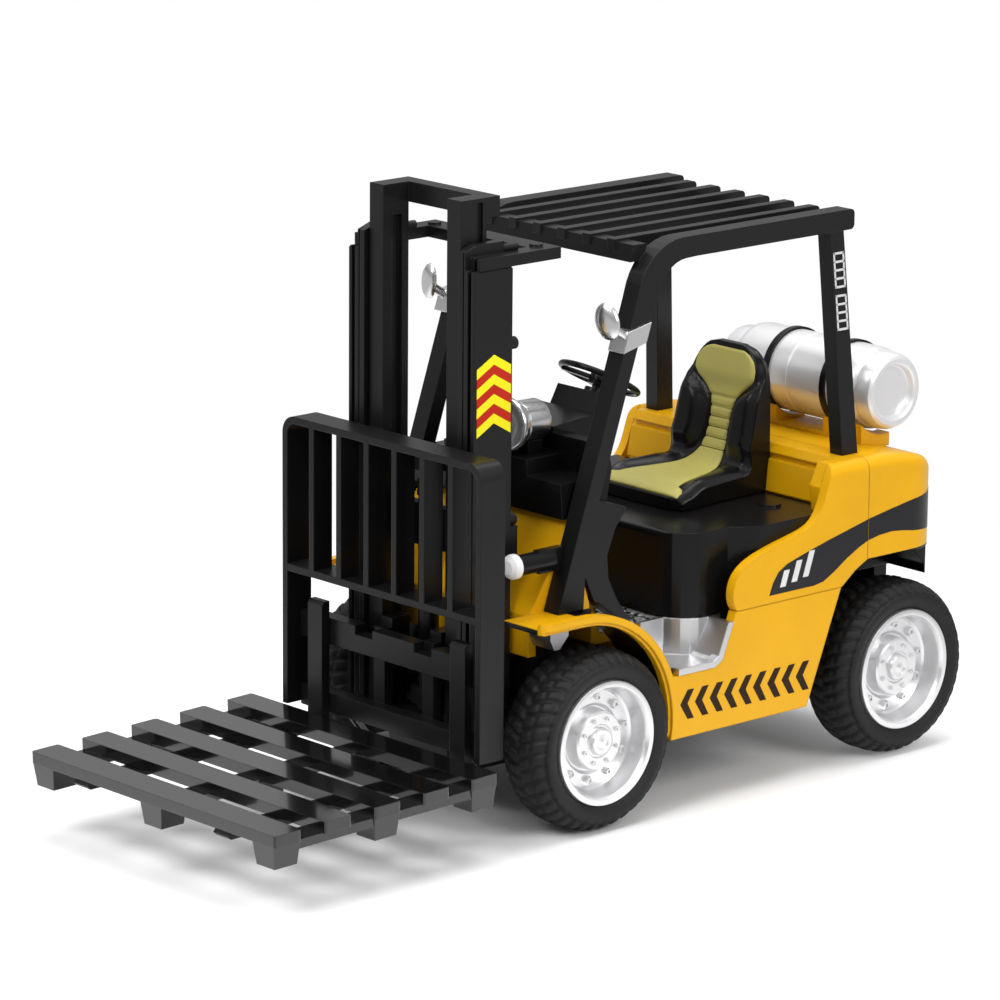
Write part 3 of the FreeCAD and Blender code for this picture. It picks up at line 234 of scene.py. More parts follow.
def merged(name, things):
    """Joins several meshes into one object."""
    verts = []
    faces = []
    mats = []
    slots = []
    sharp = []
    for thing in things:
        start = len(verts)
        verts += [v.co.copy() for v in thing.data.vertices]
        material = thing.data.materials[0]
        if material not in mats:
            mats.append(material)
        for face in thing.data.polygons:
            faces.append([start + i for i in face.vertices])
            slots.append((mats.index(material), face.use_smooth))
        for edge in thing.data.edges:
            if edge.use_edge_sharp:
                sharp.append((start + edge.vertices[0], start + edge.vertices[1]))
        bpy.data.objects.remove(thing)
    whole = make_object(name, verts, faces, mats[0])
    for material in mats[1:]:
        whole.data.materials.append(material)
    for face, (index, smooth) in zip(whole.data.polygons, slots):
        face.material_index = index
        face.use_smooth = smooth
    wanted = {tuple(sorted(pair)) for pair in sharp}
    for edge in whole.data.edges:
        edge.use_edge_sharp = tuple(sorted(edge.vertices)) in wanted
    return whole


def smoothstep(a, b, x):
    t = min(1.0, max(0.0, (x - a) / (b - a)))
    return t * t * (3 - 2 * t)


# ---------------------------------------------------------------- finishes of the CAD pieces
def studded_mat():
    """Worn silver mat with small black patches left in the pattern."""
    material, tree, shader = new_material("studded_mat")
    shader.inputs["Roughness"].default_value = 0.35
    shader.inputs["Metallic"].default_value = 0.6
    noise = add_noise(tree, 1100.0, 1.0)
    ramp = tree.nodes.new("ShaderNodeValToRGB")
    ramp.color_ramp.elements[0].position = 0.44
    ramp.color_ramp.elements[0].color = (0.02, 0.02, 0.022, 1)
    ramp.color_ramp.elements[1].position = 0.52
    ramp.color_ramp.elements[1].color = (0.7, 0.7, 0.71, 1)
    tree.links.new(noise.outputs["Fac"], ramp.inputs["Fac"])
    tree.links.new(ramp.outputs["Color"], shader.inputs["Base Color"])
    return material


def compare(tree, value, operation, limit):
    """1 where value is LESS_THAN or GREATER_THAN limit, else 0."""
    node = tree.nodes.new("ShaderNodeMath")
    node.operation = operation
    node.inputs[1].default_value = limit
    tree.links.new(value, node.inputs[0])
    return node.outputs["Value"]


def both_true(tree, first, second):
    node = tree.nodes.new("ShaderNodeMath")
    node.operation = "MULTIPLY"
    tree.links.new(first, node.inputs[0])
    tree.links.new(second, node.inputs[1])
    return node.outputs["Value"]


def painted_shade_in_wheel_wells(material):
    """Painted shade: the yellow shells are darkened to near black inside the wheel arches, under the well
    roofs where shade falls.
    """
    tree = material.node_tree
    shader = tree.nodes["Principled BSDF"]
    paint = shader.inputs["Base Color"].links[0].from_socket
    coords = tree.nodes.new("ShaderNodeTexCoord")
    split = tree.nodes.new("ShaderNodeSeparateXYZ")
    wide = tree.nodes.new("ShaderNodeMath")
    wide.operation = "ABSOLUTE"
    tree.links.new(coords.outputs["Object"], split.inputs["Vector"])
    tree.links.new(split.outputs["X"], wide.inputs[0])
    well_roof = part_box("upper_body")[0].z + 4.5 * MM
    rear_arch_start = (REAR_Y - 9.55 + AXLE_Y) * MM
    skirt_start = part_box("counterweight")[1].y - 1.65 * MM
    front_arch_end = (20.0 + AXLE_Y) * MM
    skin_inside = (BODY_SIDE - 2.05) * MM
    cowl_side = 21.65 * MM
    under = compare(tree, split.outputs["Z"], "LESS_THAN", well_roof)
    rear = compare(tree, split.outputs["Y"], "GREATER_THAN", rear_arch_start)
    before_skirt = compare(tree, split.outputs["Y"], "LESS_THAN", skirt_start)
    front = compare(tree, split.outputs["Y"], "LESS_THAN", front_arch_end)
    inside = compare(tree, wide.outputs["Value"], "LESS_THAN", skin_inside)
    beside_cowl = compare(tree, wide.outputs["Value"], "GREATER_THAN", cowl_side)
    rear_well = both_true(tree, both_true(tree, rear, before_skirt), under)
    front_well = both_true(tree, both_true(tree, front, under), both_true(tree, inside, beside_cowl))
    either = tree.nodes.new("ShaderNodeMath")
    either.operation = "MAXIMUM"
    tree.links.new(rear_well, either.inputs[0])
    tree.links.new(front_well, either.inputs[1])
    mix = tree.nodes.new("ShaderNodeMixRGB")
    # painted shade: near-black colour mixed into the yellow inside the wheel wells
    mix.inputs["Color2"].default_value = (0.006, 0.006, 0.006, 1)
    tree.links.new(either.outputs["Value"], mix.inputs["Fac"])
    tree.links.new(paint, mix.inputs["Color1"])
    tree.links.new(mix.outputs["Color"], shader.inputs["Base Color"])


def dress_cad_nodes():
    slot_of = {row["node"]: row["material_slot"] for row in frame["record"]["subparts"]}
    for name, node in frame["nodes"].items():
        node.data.materials.clear()
        node.data.materials.append(SLOTS[slot_of[name]])
        for face in node.data.polygons:
            face.material_index = 0
    for side in ("left", "right"):
        lens = frame["nodes"]["marker_lens_" + side]
        lens.data.materials[0] = MILKY
        frame["nodes"]["step_insert_" + side].data.materials[0] = STEP_PLATED
    frame["nodes"]["tread_plate"].data.materials[0] = studded_mat()
    frame["nodes"]["pallet"].data.materials[0] = PALLET_BLACK
    # the yellow body gets painted shade inside its wheel wells
    painted_shade_in_wheel_wells(SLOTS["yellow_body"])


# ---------------------------------------------------------------- tyres
LUGS = 40
TREAD = 0.5


def tread_height(lateral, turn):
    """Height of the tread pattern, 0 in a groove and 1 on a lug. lateral runs from -1 to 1 across."""
    side = abs(lateral)
    skew = 0.9 * side + (0.5 if lateral > 0 else 0.0)
    phase = (turn * LUGS + skew) % 1.0
    wave = smoothstep(0.0, 0.12, phase) * (1 - smoothstep(0.66, 0.78, phase))
    centre_groove = smoothstep(0.04, 0.09, side)
    mid_groove = 1 - 0.8 * (smoothstep(0.40, 0.44, side) * (1 - smoothstep(0.50, 0.54, side)))
    return wave * centre_groove * mid_groove


def tyre(name, node, y, body, sign):
    """Round-shouldered tyre with two rows of slanted lugs."""
    low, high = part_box(node)
    outer = max(abs(low.x), abs(high.x)) / MM
    inner = min(abs(low.x), abs(high.x)) / MM
    radius = (high.z - low.z) / 2 / MM
    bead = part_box(node.replace("tyre", "rim"))
    bead_r = (bead[1].z - bead[0].z) / 2 / MM
    half = (outer - inner) / 2
    middle = (outer + inner) / 2
    wall = [(-0.86, bead_r + 0.1), (-0.95, bead_r + 0.9), (-1.0, bead_r + 2.2), (-0.985, radius - 2.0)]
    crown = []
    for i in range(25):
        t = -1 + 2 * i / 24
        drop = 1.7 * abs(t) ** 3.6
        crown.append((t * 0.94, radius - TREAD - drop))
    profile = wall + crown + [(-a, r) for a, r in reversed(wall)]
    steps = LUGS * 10
    verts = []
    for lateral, r in profile:
        for i in range(steps):
            turn = i / steps
            bump = 0.0
            if r > radius - 3.2:
                shoulder = 1 - 0.75 * smoothstep(0.84, 0.95, abs(lateral))
                bump = TREAD * tread_height(lateral, turn) * shoulder
            angle = 2 * math.pi * turn
            rr = r + bump
            verts.append(at(sign * (middle + lateral * half), y + rr * math.cos(angle),
                            WHEEL_Z + rr * math.sin(angle)))
    faces = []
    for ring in range(len(profile) - 1):
        for i in range(steps):
            j = (i + 1) % steps
            quad = (ring * steps + i, ring * steps + j, (ring + 1) * steps + j, (ring + 1) * steps + i)
            faces.append(quad if sign < 0 else quad[::-1])
    tyre_mesh = make_object(name, verts, faces, SLOTS["tyre_rubber"])
    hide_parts(node)
    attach(tyre_mesh, body)


# ---------------------------------------------------------------- rims
def hex_bolt(centre, axis, size, height, material):
    """Hexagon head with a small dished socket."""
    across = [(0.0, size), (height * 0.75, size), (height, size * 0.8), (height, size * 0.5),
              (height * 0.5, size * 0.38), (height * 0.5, 0.001)]
    return lathe("bolt", centre, axis, across, material, steps=6, sharp=20.0)


def rim(name, node, y, body, sign):
    """Deep rim: rolled outer lip, plain barrel, flat disc with bolts and a raised hub."""
    low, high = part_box(node)
    r = (high.z - low.z) / 2 / MM
    face = max(abs(low.x), abs(high.x)) / MM
    back = min(abs(low.x), abs(high.x)) / MM
    chrome = SLOTS["wheel_chrome"]
    axis = (sign, 0, 0)
    centre = at(0, y, WHEEL_Z)
    disc = face - 4.6
    hub = face - 2.2
    profile = [(back, 1.6), (back, 3.0), (disc - 2.6, 3.0), (disc - 2.6, r - 2.0), (face - 10.6, r - 1.6),
               (face - 10.6, r), (face - 0.6, r), (face - 0.1, r - 0.15), (face, r - 0.5),
               (face - 0.05, r - 1.2), (face - 0.5, r - 1.55), (face - 1.0, r - 1.7),
               (disc + 1.4, r - 2.0), (disc + 0.4, r - 2.25), (disc, r - 2.7), (disc, 6.9),
               (disc - 0.7, 6.3), (disc - 0.7, 5.95), (hub - 0.3, 5.7), (hub, 5.4), (hub, 3.3),
               (hub - 0.3, 3.1), (hub - 0.3, 2.7), (hub + 0.4, 2.6), (hub + 0.8, 2.3), (hub + 0.8, 1.5),
               (hub + 0.55, 1.3), (hub + 0.55, 0.5), (hub + 0.7, 0.0)]
    parts = [lathe("rim_skin", centre, axis, profile, chrome)]
    for i in range(10):
        angle = 2 * math.pi * (i + 0.3) / 10
        spot = at(sign * disc, y + 8.1 * math.cos(angle), WHEEL_Z + 8.1 * math.sin(angle))
        parts.append(hex_bolt(spot, axis, 0.95 if i % 2 else 0.72, 0.9, chrome))
    for i in range(8):
        angle = 2 * math.pi * (i + 0.5) / 8
        spot = at(sign * hub, y + 4.35 * math.cos(angle), WHEEL_Z + 4.35 * math.sin(angle))
        parts.append(hex_bolt(spot, axis, 0.5, 0.45, chrome))
    whole = merged(name, parts)
    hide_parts(node)
    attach(whole, body)
    return whole


def wheels():
    for end, y, body in (("front", 0.0, "front_wheels"), ("rear", REAR_Y, "rear_wheels")):
        for side, sign in (("left", 1), ("right", -1)):
            tyre("%s_tyre_%s_tread" % (end, side), "%s_tyre_%s" % (end, side), y, body, sign)
            whole = rim("%s_rim_%s_plated" % (end, side), "%s_rim_%s" % (end, side), y, body, sign)
            if side == "left":
                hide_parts(end + "_lug_bolts", end + "_hub_caps")


# ---------------------------------------------------------------- seat
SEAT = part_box("seat_shell")
SEAT_FLOOR = SEAT[0].z / MM
SEAT_FRONT = SEAT[0].y / MM - AXLE_Y
SEAT_BACK = SEAT[1].y / MM - AXLE_Y


def along(table, t):
    """The row of table at t, its rows starting with t and mixed in a straight line."""
    for low, high in zip(table, table[1:]):
        if t <= high[0]:
            mix = (t - low[0]) / (high[0] - low[0])
            return [a + (b - a) * mix for a, b in zip(low[1:], high[1:])]
    return list(table[-1][1:])


def seat_line(t):
    """Middle of the sitting surface: t 0 at the front edge, 1 at the top of the back."""
    rows = [(0.0, 0.3, 2.2), (0.08, 1.8, 3.3), (0.20, 6.5, 4.0), (0.40, 17.0, 4.2), (0.46, 20.2, 4.9),
            (0.52, 22.4, 7.2), (0.60, 23.7, 10.8), (0.76, 25.3, 18.0), (0.87, 25.9, 23.0),
            (1.0, 27.0, 28.4)]
    near = [along(rows, min(1.0, max(0.0, t + step))) for step in (-0.03, -0.015, 0.0, 0.015, 0.03)]
    forward = sum(row[0] for row in near) / len(near)
    rise = sum(row[1] for row in near) / len(near)
    return SEAT_FRONT + forward, SEAT_FLOOR + rise


def seat_half_width(t):
    """Half of the seat's width along the line."""
    rows = [(0.0, 12.4), (0.03, 13.3), (0.12, 13.4), (0.40, 12.2), (0.52, 11.4), (0.62, 11.2),
            (0.72, 11.0), (0.82, 10.6), (0.88, 10.0), (0.925, 9.0), (0.96, 7.6), (0.985, 6.0), (1.0, 4.2)]
    return along(rows, t)[0]


def insert_half_width(t):
    """Outline of the olive panel: wide front, tapering cushion, narrow waist, round head panel."""
    rows = [(0.02, 11.8), (0.04, 12.9), (0.10, 12.8), (0.125, 11.6), (0.15, 9.2), (0.25, 7.6),
            (0.35, 6.2), (0.44, 4.9), (0.52, 3.4), (0.60, 2.9), (0.68, 2.9), (0.73, 3.4), (0.765, 4.6),
            (0.79, 6.0), (0.82, 7.9), (0.85, 8.9), (0.88, 9.1), (0.91, 8.6), (0.935, 7.6), (0.955, 6.1),
            (0.97, 4.2)]
    return along(rows, t)[0]


def seat_normal(t):
    """Direction (y, z) square to the sitting surface at its middle."""
    y0, z0 = seat_line(max(0.0, t - 0.02))
    y1, z1 = seat_line(min(1.0, t + 0.02))
    length = math.hypot(y1 - y0, z1 - z0)
    return -(z1 - z0) / length, (y1 - y0) / length


def seat_surface(t, x, lift=0.0):
    """A point of the sitting surface. Bolsters rise outside the olive panel, lowest on the cushion."""
    side = min(1.0, abs(x) / seat_half_width(t))
    y, z = seat_line(t)
    ny, nz = seat_normal(t)
    back = smoothstep(0.46, 0.56, t) * (1 - smoothstep(0.74, 0.90, t))
    cushion = smoothstep(0.12, 0.24, t) * (1 - smoothstep(0.38, 0.50, t))
    outside = smoothstep(0.0, 3.0, abs(x) - insert_half_width(t))
    bolster = (2.9 * back + 1.1 * cushion) * outside + 0.5 * smoothstep(0.78, 0.86, t)
    edge = -1.5 * smoothstep(0.78, 1.0, side) ** 2
    height = bolster + edge + lift
    return at(x, y + ny * height, z + nz * height)


def seat_shell():
    """Sitting surface with walls drawn down to the floor and back, closed underneath and behind."""
    steps = 60
    across = 44
    front_side = []
    for i in range(steps + 1):
        t = i / steps
        half = seat_half_width(t)
        spread = [math.sin(math.pi / 2 * (2 * j / across - 1)) for j in range(across + 1)]
        front_side.append([seat_surface(t, half * s) for s in spread])
    verts = [p for row in front_side for p in row]
    faces = []
    width = across + 1
    for i in range(steps):
        for j in range(across):
            a = i * width + j
            faces.append((a, a + 1, a + width + 1, a + width))
    rim_line = [i * width for i in range(steps + 1)]
    rim_line += [steps * width + j for j in range(1, across + 1)]
    rim_line += [i * width + across for i in reversed(range(steps))]
    rim_line += [j for j in reversed(range(1, across))]
    back_y = SEAT_BACK - 0.2
    floor = SEAT_FLOOR + 0.1
    back_reach = 0.86
    wall_taper = 0.97
    ring = []
    for index in rim_line:
        point = verts[index]
        t = index // width / steps
        y = point.y / MM - AXLE_Y
        z = point.z / MM
        to_back = back_reach * smoothstep(0.36, 0.47, t)
        to_floor = 1 - smoothstep(0.44, 0.56, t)
        ring.append(at(point.x / MM * wall_taper, y + (back_y - y) * to_back, z + (floor - z) * to_floor))
    start = len(verts)
    verts += ring
    count = len(rim_line)
    for k in range(count):
        a = rim_line[k]
        b = rim_line[(k + 1) % count]
        faces.append((a, start + k, start + (k + 1) % count, b))
    inner = []
    for point in ring:
        inner.append(Vector((point.x * 0.5, point.y, point.z)))
    inner_start = len(verts)
    verts += inner
    for k in range(count):
        m = (k + 1) % count
        faces.append((start + k, inner_start + k, inner_start + m, start + m))
    for k in range(steps):
        opposite = (steps + across + (steps - k)) % count
        opposite_next = (steps + across + (steps - k - 1)) % count
        faces.append((inner_start + k, inner_start + opposite, inner_start + opposite_next,
                      inner_start + k + 1))
    shell = smooth_by_angle(make_object("seat_shell_padded", verts, faces, SLOTS["seat_black"]), 50.0)
    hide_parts("seat_shell")
    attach(shell, "truck")


def seat_insert():
    """Olive panel on the sitting surface, pinched along its creases."""
    creases = (0.52, 0.565, 0.61, 0.655, 0.70, 0.745)
    steps = 150
    across = 16
    verts = []
    for i in range(steps + 1):
        t = 0.02 + 0.95 * i / steps
        half = insert_half_width(t)
        crease = max(math.exp(-((t - c) / 0.006) ** 2) for c in creases)
        for j in range(across + 1):
            s = 2 * j / across - 1
            edge = 1 - smoothstep(0.86, 1.0, abs(s))
            ends = smoothstep(0.02, 0.035, t) * (1 - smoothstep(0.96, 0.97, t))
            lift = -0.25 + 0.6 * edge * ends - 0.42 * crease * edge
            verts.append(seat_surface(t, half * s, lift))
    width = across + 1
    faces = []
    for i in range(steps):
        for j in range(across):
            a = i * width + j
            faces.append((a, a + 1, a + width + 1, a + width))
    panel = make_object("seat_insert_ribbed", verts, faces, SLOTS["seat_olive"])
    thick = panel.modifiers.new("thick", "SOLIDIFY")
    thick.thickness = 0.4 * MM
    thick.offset = -1
    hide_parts("seat_insert")
    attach(panel, "truck")


# ---------------------------------------------------------------- tank, lamps, mirrors
def tank():
    """Gas bottle with a dished foot, a shallow groove round the body and a collar at the neck."""
    low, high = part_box("gas_tank")
    centre = Vector((0, (low.y + high.y) / 2, (low.z + high.z) / 2))
    r = (high.z - low.z) / 2 / MM
    end = high.x / MM
    neck = low.x / MM
    foot = [(end - 1.5, 0.0), (end - 1.5, 4.9), (end - 1.3, 5.2), (end - 0.3, 5.5), (end, 5.9),
            (end, 6.6), (end - 0.4, 7.2), (end - 1.2, 7.6), (end - 3.0, 7.8), (end - 3.5, 7.4),
            (end - 4.0, 7.4), (end - 4.4, 7.9), (end - 5.4, r - 0.1), (end - 6.4, r)]
    body = [(3.7, r), (3.5, r - 0.18), (3.1, r - 0.18), (2.9, r)]
    top = [(neck + 6.6, r), (neck + 5.4, r - 0.2), (neck + 4.6, 7.6), (neck + 4.2, 7.0),
           (neck + 0.9, 6.9), (neck + 0.2, 6.6), (neck, 6.1), (neck, 5.5), (neck + 0.3, 5.2),
           (neck + 1.4, 5.0), (neck + 1.4, 0.0)]
    profile = foot + body + top
    whole = lathe("gas_tank_turned", centre, (1, 0, 0), profile, SLOTS["tank_silver"], steps=128,
                  sharp=24.0)
    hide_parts("gas_tank")
    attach(whole, "truck")


def headlamp(side):
    """Turned bowl with a stepped neck, and its lens."""
    low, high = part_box("headlamp_bowl_" + side)
    x = (low.x + high.x) / 2 / MM
    z = (low.z + high.z) / 2 / MM
    y = low.y / MM - AXLE_Y
    r = (high.z - low.z) / 2 / MM
    long = (high.y - low.y) / MM
    outer = [(1.0, 0.0), (1.3, 1.6), (0.6, 3.6), (0.15, r - 0.7), (0.0, r - 0.5), (0.0, r - 0.1),
             (0.3, r), (0.8, r), (1.1, r - 0.3), (1.3, r - 0.6), (1.9, 4.4), (2.3, 4.2), (2.3, 3.9),
             (2.7, 3.9), (2.7, 4.1), (long - 1.5, 4.05), (long - 0.7, 3.7), (long - 0.2, 3.0),
             (long, 2.0), (long, 0.0)]
    bowl = lathe("headlamp_bowl_%s_turned" % side, at(x, y, z), (0, 1, 0), outer, SLOTS["plated"], steps=64)
    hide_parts("headlamp_bowl_" + side, "headlamp_lens_" + side)
    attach(bowl, "truck")
    lens = [(0.3, 0.0), (0.25, 2.2), (0.1, 3.9), (0.12, 4.4), (0.4, 4.5)]
    glass = lathe("headlamp_lens_%s_clear" % side, at(x, y, z), (0, 1, 0), lens, SLOTS["lamp_glass"],
                  steps=64)
    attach(glass, "truck")


def mirror(side, sign):
    """Dished oval shell with a flat face let into its rear, all in the plated finish."""
    low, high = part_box("mirror_" + side)
    centre = (low + high) / 2
    swing = Matrix.Rotation(math.radians(16 * sign), 3, "Z")
    cant = Matrix.Rotation(math.radians(-16 * sign), 3, "Y")
    turn = swing @ cant
    profile = [(-0.65, 0.0), (-0.6, 1.2), (-0.35, 2.1), (0.05, 2.5), (0.45, 2.6), (0.65, 2.5), (0.6, 2.2),
               (0.45, 2.1), (0.45, 0.0)]
    steps = 64
    verts = []
    for forward, radius in profile:
        for i in range(steps):
            angle = 2 * math.pi * i / steps
            local = Vector((radius * math.cos(angle), forward, 1.38 * radius * math.sin(angle)))
            verts.append(centre + (turn @ local) * MM)
    faces = []
    for ring in range(len(profile) - 1):
        for i in range(steps):
            j = (i + 1) % steps
            faces.append((ring * steps + i, ring * steps + j, (ring + 1) * steps + j,
                          (ring + 1) * steps + i))
    shell = smooth_by_angle(make_object("mirror_%s_oval" % side, verts, faces, SLOTS["plated"]), 35.0)
    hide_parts("mirror_" + side)
    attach(shell, "truck")


# ---------------------------------------------------------------- stickers
STICKER = 0.06


def side_sticker(name, points, sign, material, x=None, body="truck"):
    """A flat sticker on a side wall; points are (y, z)."""
    x = BODY_SIDE if x is None else x
    ordered = points if sign > 0 else list(reversed(points))
    outline = [at(sign * (x + 0.005), y, z) for y, z in ordered]
    thing = sheet(name, outline, Vector((sign * STICKER * MM, 0, 0)), material)
    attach(thing, body)
    return thing


def sill_chevrons():
    """Nine arrow stripes pointing forward along each sill."""
    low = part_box("lower_body")[0].z / MM
    first = 20.4
    pitch = 3.89
    for side, sign in (("left", 1), ("right", -1)):
        for i in range(9):
            y = first + pitch * i
            z = low + 6.6
            outline = [(y, z), (y + 2.0, z - 3.1), (y + 3.65, z - 3.1), (y + 1.9, z), (y + 3.6, z + 2.7),
                       (y + 1.9, z + 2.7)]
            side_sticker("sill_chevron_%s_%d" % (side, i), outline, sign, STRIPE_BROWN)


STRIPE_LOW = [(43.8, 38.4), (56.0, 38.4), (58.6, 38.8), (61.4, 40.2), (65.0, 42.4), (68.4, 44.1),
              (70.8, 45.0)]
STRIPE_HIGH = [(70.8, 49.3), (65.9, 48.2), (60.0, 46.9), (53.4, 45.3), (48.6, 44.0), (46.2, 42.7),
               (44.8, 40.8)]
TAIL_LOW = [(70.95, 45.05), (74.0, 45.6), (77.4, 45.8), (80.6, 45.5), (83.6, 45.0)]
TAIL_HIGH = [(83.6, 51.4), (77.2, 50.4), (70.95, 49.35)]


def body_stripe():
    """Black flash on the upper body, carried on over the counterweight and round its rear corners."""
    corner = 10.0
    steps = 16
    low_start = 45.0
    high_start = 51.4
    widening = 1.6
    low_middle = 43.2
    high_middle = 53.2
    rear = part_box("counterweight")[1].y / MM - AXLE_Y
    for side, sign in (("left", 1), ("right", -1)):
        side_sticker("flash_front_" + side, STRIPE_LOW + STRIPE_HIGH, sign, STRIPE_BLACK)
        side_sticker("flash_tail_" + side, TAIL_LOW + TAIL_HIGH, sign, STRIPE_BLACK)
        rows = []
        for i in range(steps + 1):
            angle = math.pi / 2 * i / steps
            x = BODY_SIDE - corner + (corner + STICKER) * math.cos(angle)
            y = rear - corner + (corner + STICKER) * math.sin(angle)
            low_z = low_start - widening * i / steps
            high_z = high_start + widening * i / steps
            rows.append((at(sign * x, y, low_z), at(sign * x, y, high_z)))
        rows.append((at(0, rear + STICKER, low_middle), at(0, rear + STICKER, high_middle)))
        verts = [p for row in rows for p in row]
        faces = []
        for i in range(len(rows) - 1):
            quad = (2 * i, 2 * i + 2, 2 * i + 3, 2 * i + 1)
            faces.append(quad if sign > 0 else quad[::-1])
        wrap = make_object("flash_corner_" + side, verts, faces, STRIPE_BLACK)
        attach(wrap, "truck")
        flash_mark(side, sign)


def flash_mark(side, sign):
    """Three plain slanted bars, a neutral mark where toys of this kind carry a fleet marking."""
    for i in range(3):
        y = 46.6 + 3.1 * i
        z = 39.6 + 0.5 * i
        tall = 3.2 + 0.9 * i
        outline = [(y, z), (y + 1.5, z), (y + 1.5 + 0.34 * tall, z + tall), (y + 0.34 * tall, z + tall)]
        side_sticker("flash_mark_%s_%d" % (side, i), outline, sign, STICKER_WHITE, x=BODY_SIDE + STICKER)


def mast_chevrons():
    """Seven arrow stripes, yellow and red in turn, on the outer faces of the mast."""
    low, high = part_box("outer_mast")
    x = high.x / MM
    front = low.y / MM - AXLE_Y + 0.8
    back = front + 8.5
    middle = (front + back) / 2
    bottom = 76.0
    pitch = 1.86
    point = 2.4
    for side, sign in (("left", 1), ("right", -1)):
        for i in range(7):
            z = bottom + pitch * i
            lower = [(front, z), (middle, z + point), (back, z)]
            upper = [(back, z + pitch), (middle, z + point + pitch), (front, z + pitch)]
            colour = STICKER_RED if i % 2 else STICKER_YELLOW
            side_sticker("mast_chevron_%s_%d" % (side, i), lower + upper, sign, colour, x=x,
                         body="outer_mast")


def post_ladders():
    """Two small white ladder marks on the outer face of each rear post, which leans and tapers."""
    foot_x = 27.9
    foot_y = 68.8
    foot_z = 57.0
    foot_depth = 4.3
    post_rise = 50.0
    lean_in = 2.2
    lean_forward = 3.2
    taper = 0.5

    def on_post(sign, across, z):
        rise = (z - foot_z) / post_rise
        x = foot_x - lean_in * rise
        y = foot_y - lean_forward * rise + across * (foot_depth - taper * rise)
        return at(sign * (x + 0.02), y, z)

    cell = 1.66
    line = 0.44
    near = 0.14
    far = 0.9
    rail = 0.11
    for side, sign in (("left", 1), ("right", -1)):
        for group, bottom in enumerate((86.2, 94.6)):
            top = bottom + cell * 4 + line
            boxes = [(near, far, bottom + cell * k, bottom + cell * k + line) for k in range(5)]
            boxes += [(near, near + rail, bottom, top), (far - rail, far, bottom, top)]
            things = []
            for y0, y1, z0, z1 in boxes:
                ring = [(y0, z0), (y1, z0), (y1, z1), (y0, z1)]
                ordered = ring if sign > 0 else list(reversed(ring))
                points = [on_post(sign, across, z) for across, z in ordered]
                things.append(sheet("mark", points, Vector((sign * STICKER * MM, 0, 0)), STICKER_WHITE))
            whole = merged("post_ladder_%s_%d" % (side, group), things)
            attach(whole, "truck")


# ---------------------------------------------------------------- stage
def stage():
    """White floor that fades to pure white away from the truck, so only the soft shadow shows."""
    size = 8.0
    verts = [(-size, -size, 0), (size, -size, 0), (size, size, 0), (-size, size, 0)]
    floor_mat, tree, shader = new_material("floor")
    shader.inputs["Base Color"].default_value = (0.88, 0.88, 0.88, 1)
    shader.inputs["Roughness"].default_value = 0.7
    shader.inputs["Specular IOR Level"].default_value = 0.1
    coords = tree.nodes.new("ShaderNodeTexCoord")
    length = tree.nodes.new("ShaderNodeVectorMath")
    length.operation = "LENGTH"
    fade = tree.nodes.new("ShaderNodeMapRange")
    fade.inputs["From Min"].default_value = 0.05
    fade.inputs["From Max"].default_value = 0.24
    glow = tree.nodes.new("ShaderNodeEmission")
    glow.inputs["Color"].default_value = (1, 1, 1, 1)
    ray = tree.nodes.new("ShaderNodeLightPath")
    strength = tree.nodes.new("ShaderNodeMapRange")
    strength.inputs["To Min"].default_value = 0.6
    strength.inputs["To Max"].default_value = 1.0
    tree.links.new(ray.outputs["Is Camera Ray"], strength.inputs["Value"])
    tree.links.new(strength.outputs["Result"], glow.inputs["Strength"])
    mix = tree.nodes.new("ShaderNodeMixShader")
    tree.links.new(coords.outputs["Object"], length.inputs[0])
    tree.links.new(length.outputs["Value"], fade.inputs["Value"])
    tree.links.new(fade.outputs["Result"], mix.inputs["Fac"])
    tree.links.new(shader.outputs["BSDF"], mix.inputs[1])
    tree.links.new(glow.outputs["Emission"], mix.inputs[2])
    tree.links.new(mix.outputs["Shader"], tree.nodes["Material Output"].inputs["Surface"])
    floor = make_object("floor", verts, [(0, 1, 2, 3)], floor_mat, smooth=False)


def area_light(name, where, target, size, energy):
    data = bpy.data.lights.new(name, "AREA")
    data.shape = "RECTANGLE"
    data.size = size[0]
    data.size_y = size[1]
    data.energy = energy
    lamp = bpy.data.objects.new(name, data)
    lamp.location = where
    lamp.rotation_euler = (Vector(target) - Vector(where)).to_track_quat("-Z", "Y").to_euler()
    bpy.context.scene.collection.objects.link(lamp)
    lamp.visible_camera = False


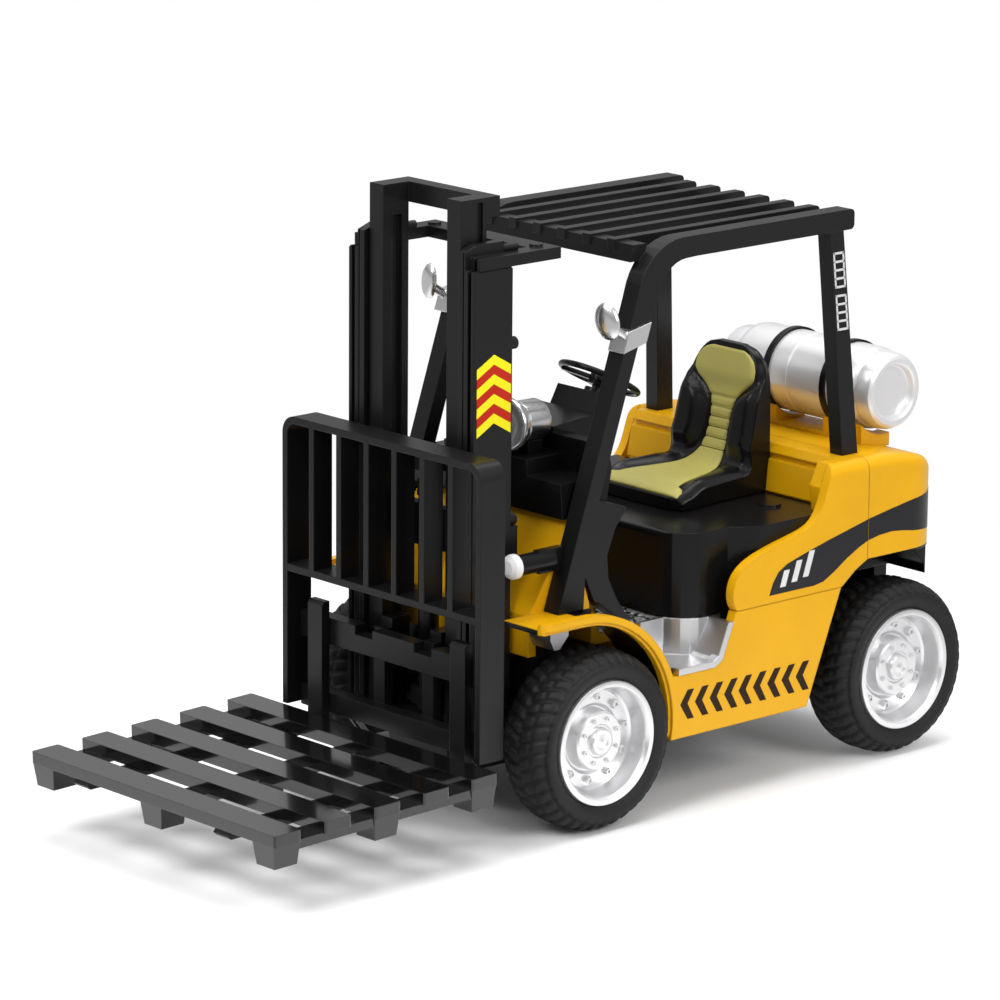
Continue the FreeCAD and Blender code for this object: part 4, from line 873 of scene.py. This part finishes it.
def lighting():
    world = bpy.data.worlds.new("studio")
    bpy.context.scene.world = world
    world.use_nodes = True
    tree = world.node_tree
    background = tree.nodes["Background"]
    coords = tree.nodes.new("ShaderNodeTexCoord")
    split = tree.nodes.new("ShaderNodeSeparateXYZ")
    ramp = tree.nodes.new("ShaderNodeValToRGB")
    tree.links.new(coords.outputs["Generated"], split.inputs["Vector"])
    tree.links.new(split.outputs["Z"], ramp.inputs["Fac"])
    ramp.color_ramp.elements[0].position = 0.0
    ramp.color_ramp.elements[0].color = (0.35, 0.35, 0.36, 1)
    ramp.color_ramp.elements[1].position = 0.65
    ramp.color_ramp.elements[1].color = (0.95, 0.95, 0.95, 1)
    camera_ray = tree.nodes.new("ShaderNodeLightPath")
    white = tree.nodes.new("ShaderNodeBackground")
    white.inputs["Color"].default_value = (1, 1, 1, 1)
    white.inputs["Strength"].default_value = 1.0
    background.inputs["Strength"].default_value = 0.75
    mix = tree.nodes.new("ShaderNodeMixShader")
    tree.links.new(ramp.outputs["Color"], background.inputs["Color"])
    tree.links.new(camera_ray.outputs["Is Camera Ray"], mix.inputs["Fac"])
    tree.links.new(background.outputs["Background"], mix.inputs[1])
    tree.links.new(white.outputs["Background"], mix.inputs[2])
    tree.links.new(mix.outputs["Shader"], tree.nodes["World Output"].inputs["Surface"])
    aim = (0, 0, 0.05)
    area_light("key", (0.05, -0.6, 0.7), aim, (0.5, 0.4), 4.5)
    area_light("side", (0.8, 0.1, 0.5), aim, (0.4, 0.5), 3.9)
    area_light("top", (-0.1, 0.15, 0.9), aim, (0.7, 0.7), 6.5)


def camera():
    data = bpy.data.cameras.new("camera")
    eye = bpy.data.objects.new("camera", data)
    bpy.context.scene.collection.objects.link(eye)
    bpy.context.scene.camera = eye
    azimuth = math.radians(47.78)
    elevation = math.radians(13.71)
    roll = math.radians(0.46)
    distance = 1.0337
    aim = at(0, 3.6, 57.6)
    level = math.cos(elevation)
    back = Vector((math.sin(azimuth) * level, -math.cos(azimuth) * level, math.sin(elevation)))
    eye.location = aim + back * distance
    look = (-back).to_track_quat("-Z", "Y").to_matrix().to_4x4()
    eye.rotation_euler = (look @ Matrix.Rotation(roll, 4, "Z")).to_euler()
    data.lens = 194.7
    data.sensor_width = 36.0
    data.clip_start = 0.05
    data.clip_end = 50.0


def build():
    dress_cad_nodes()
    wheels()
    seat_shell()
    seat_insert()
    tank()
    for side, sign in (("left", 1), ("right", -1)):
        headlamp(side)
        mirror(side, sign)
    sill_chevrons()
    body_stripe()
    mast_chevrons()
    post_ladders()
    stage()
    lighting()
    camera()
    bpy.context.scene.view_settings.view_transform = "Standard"


build()
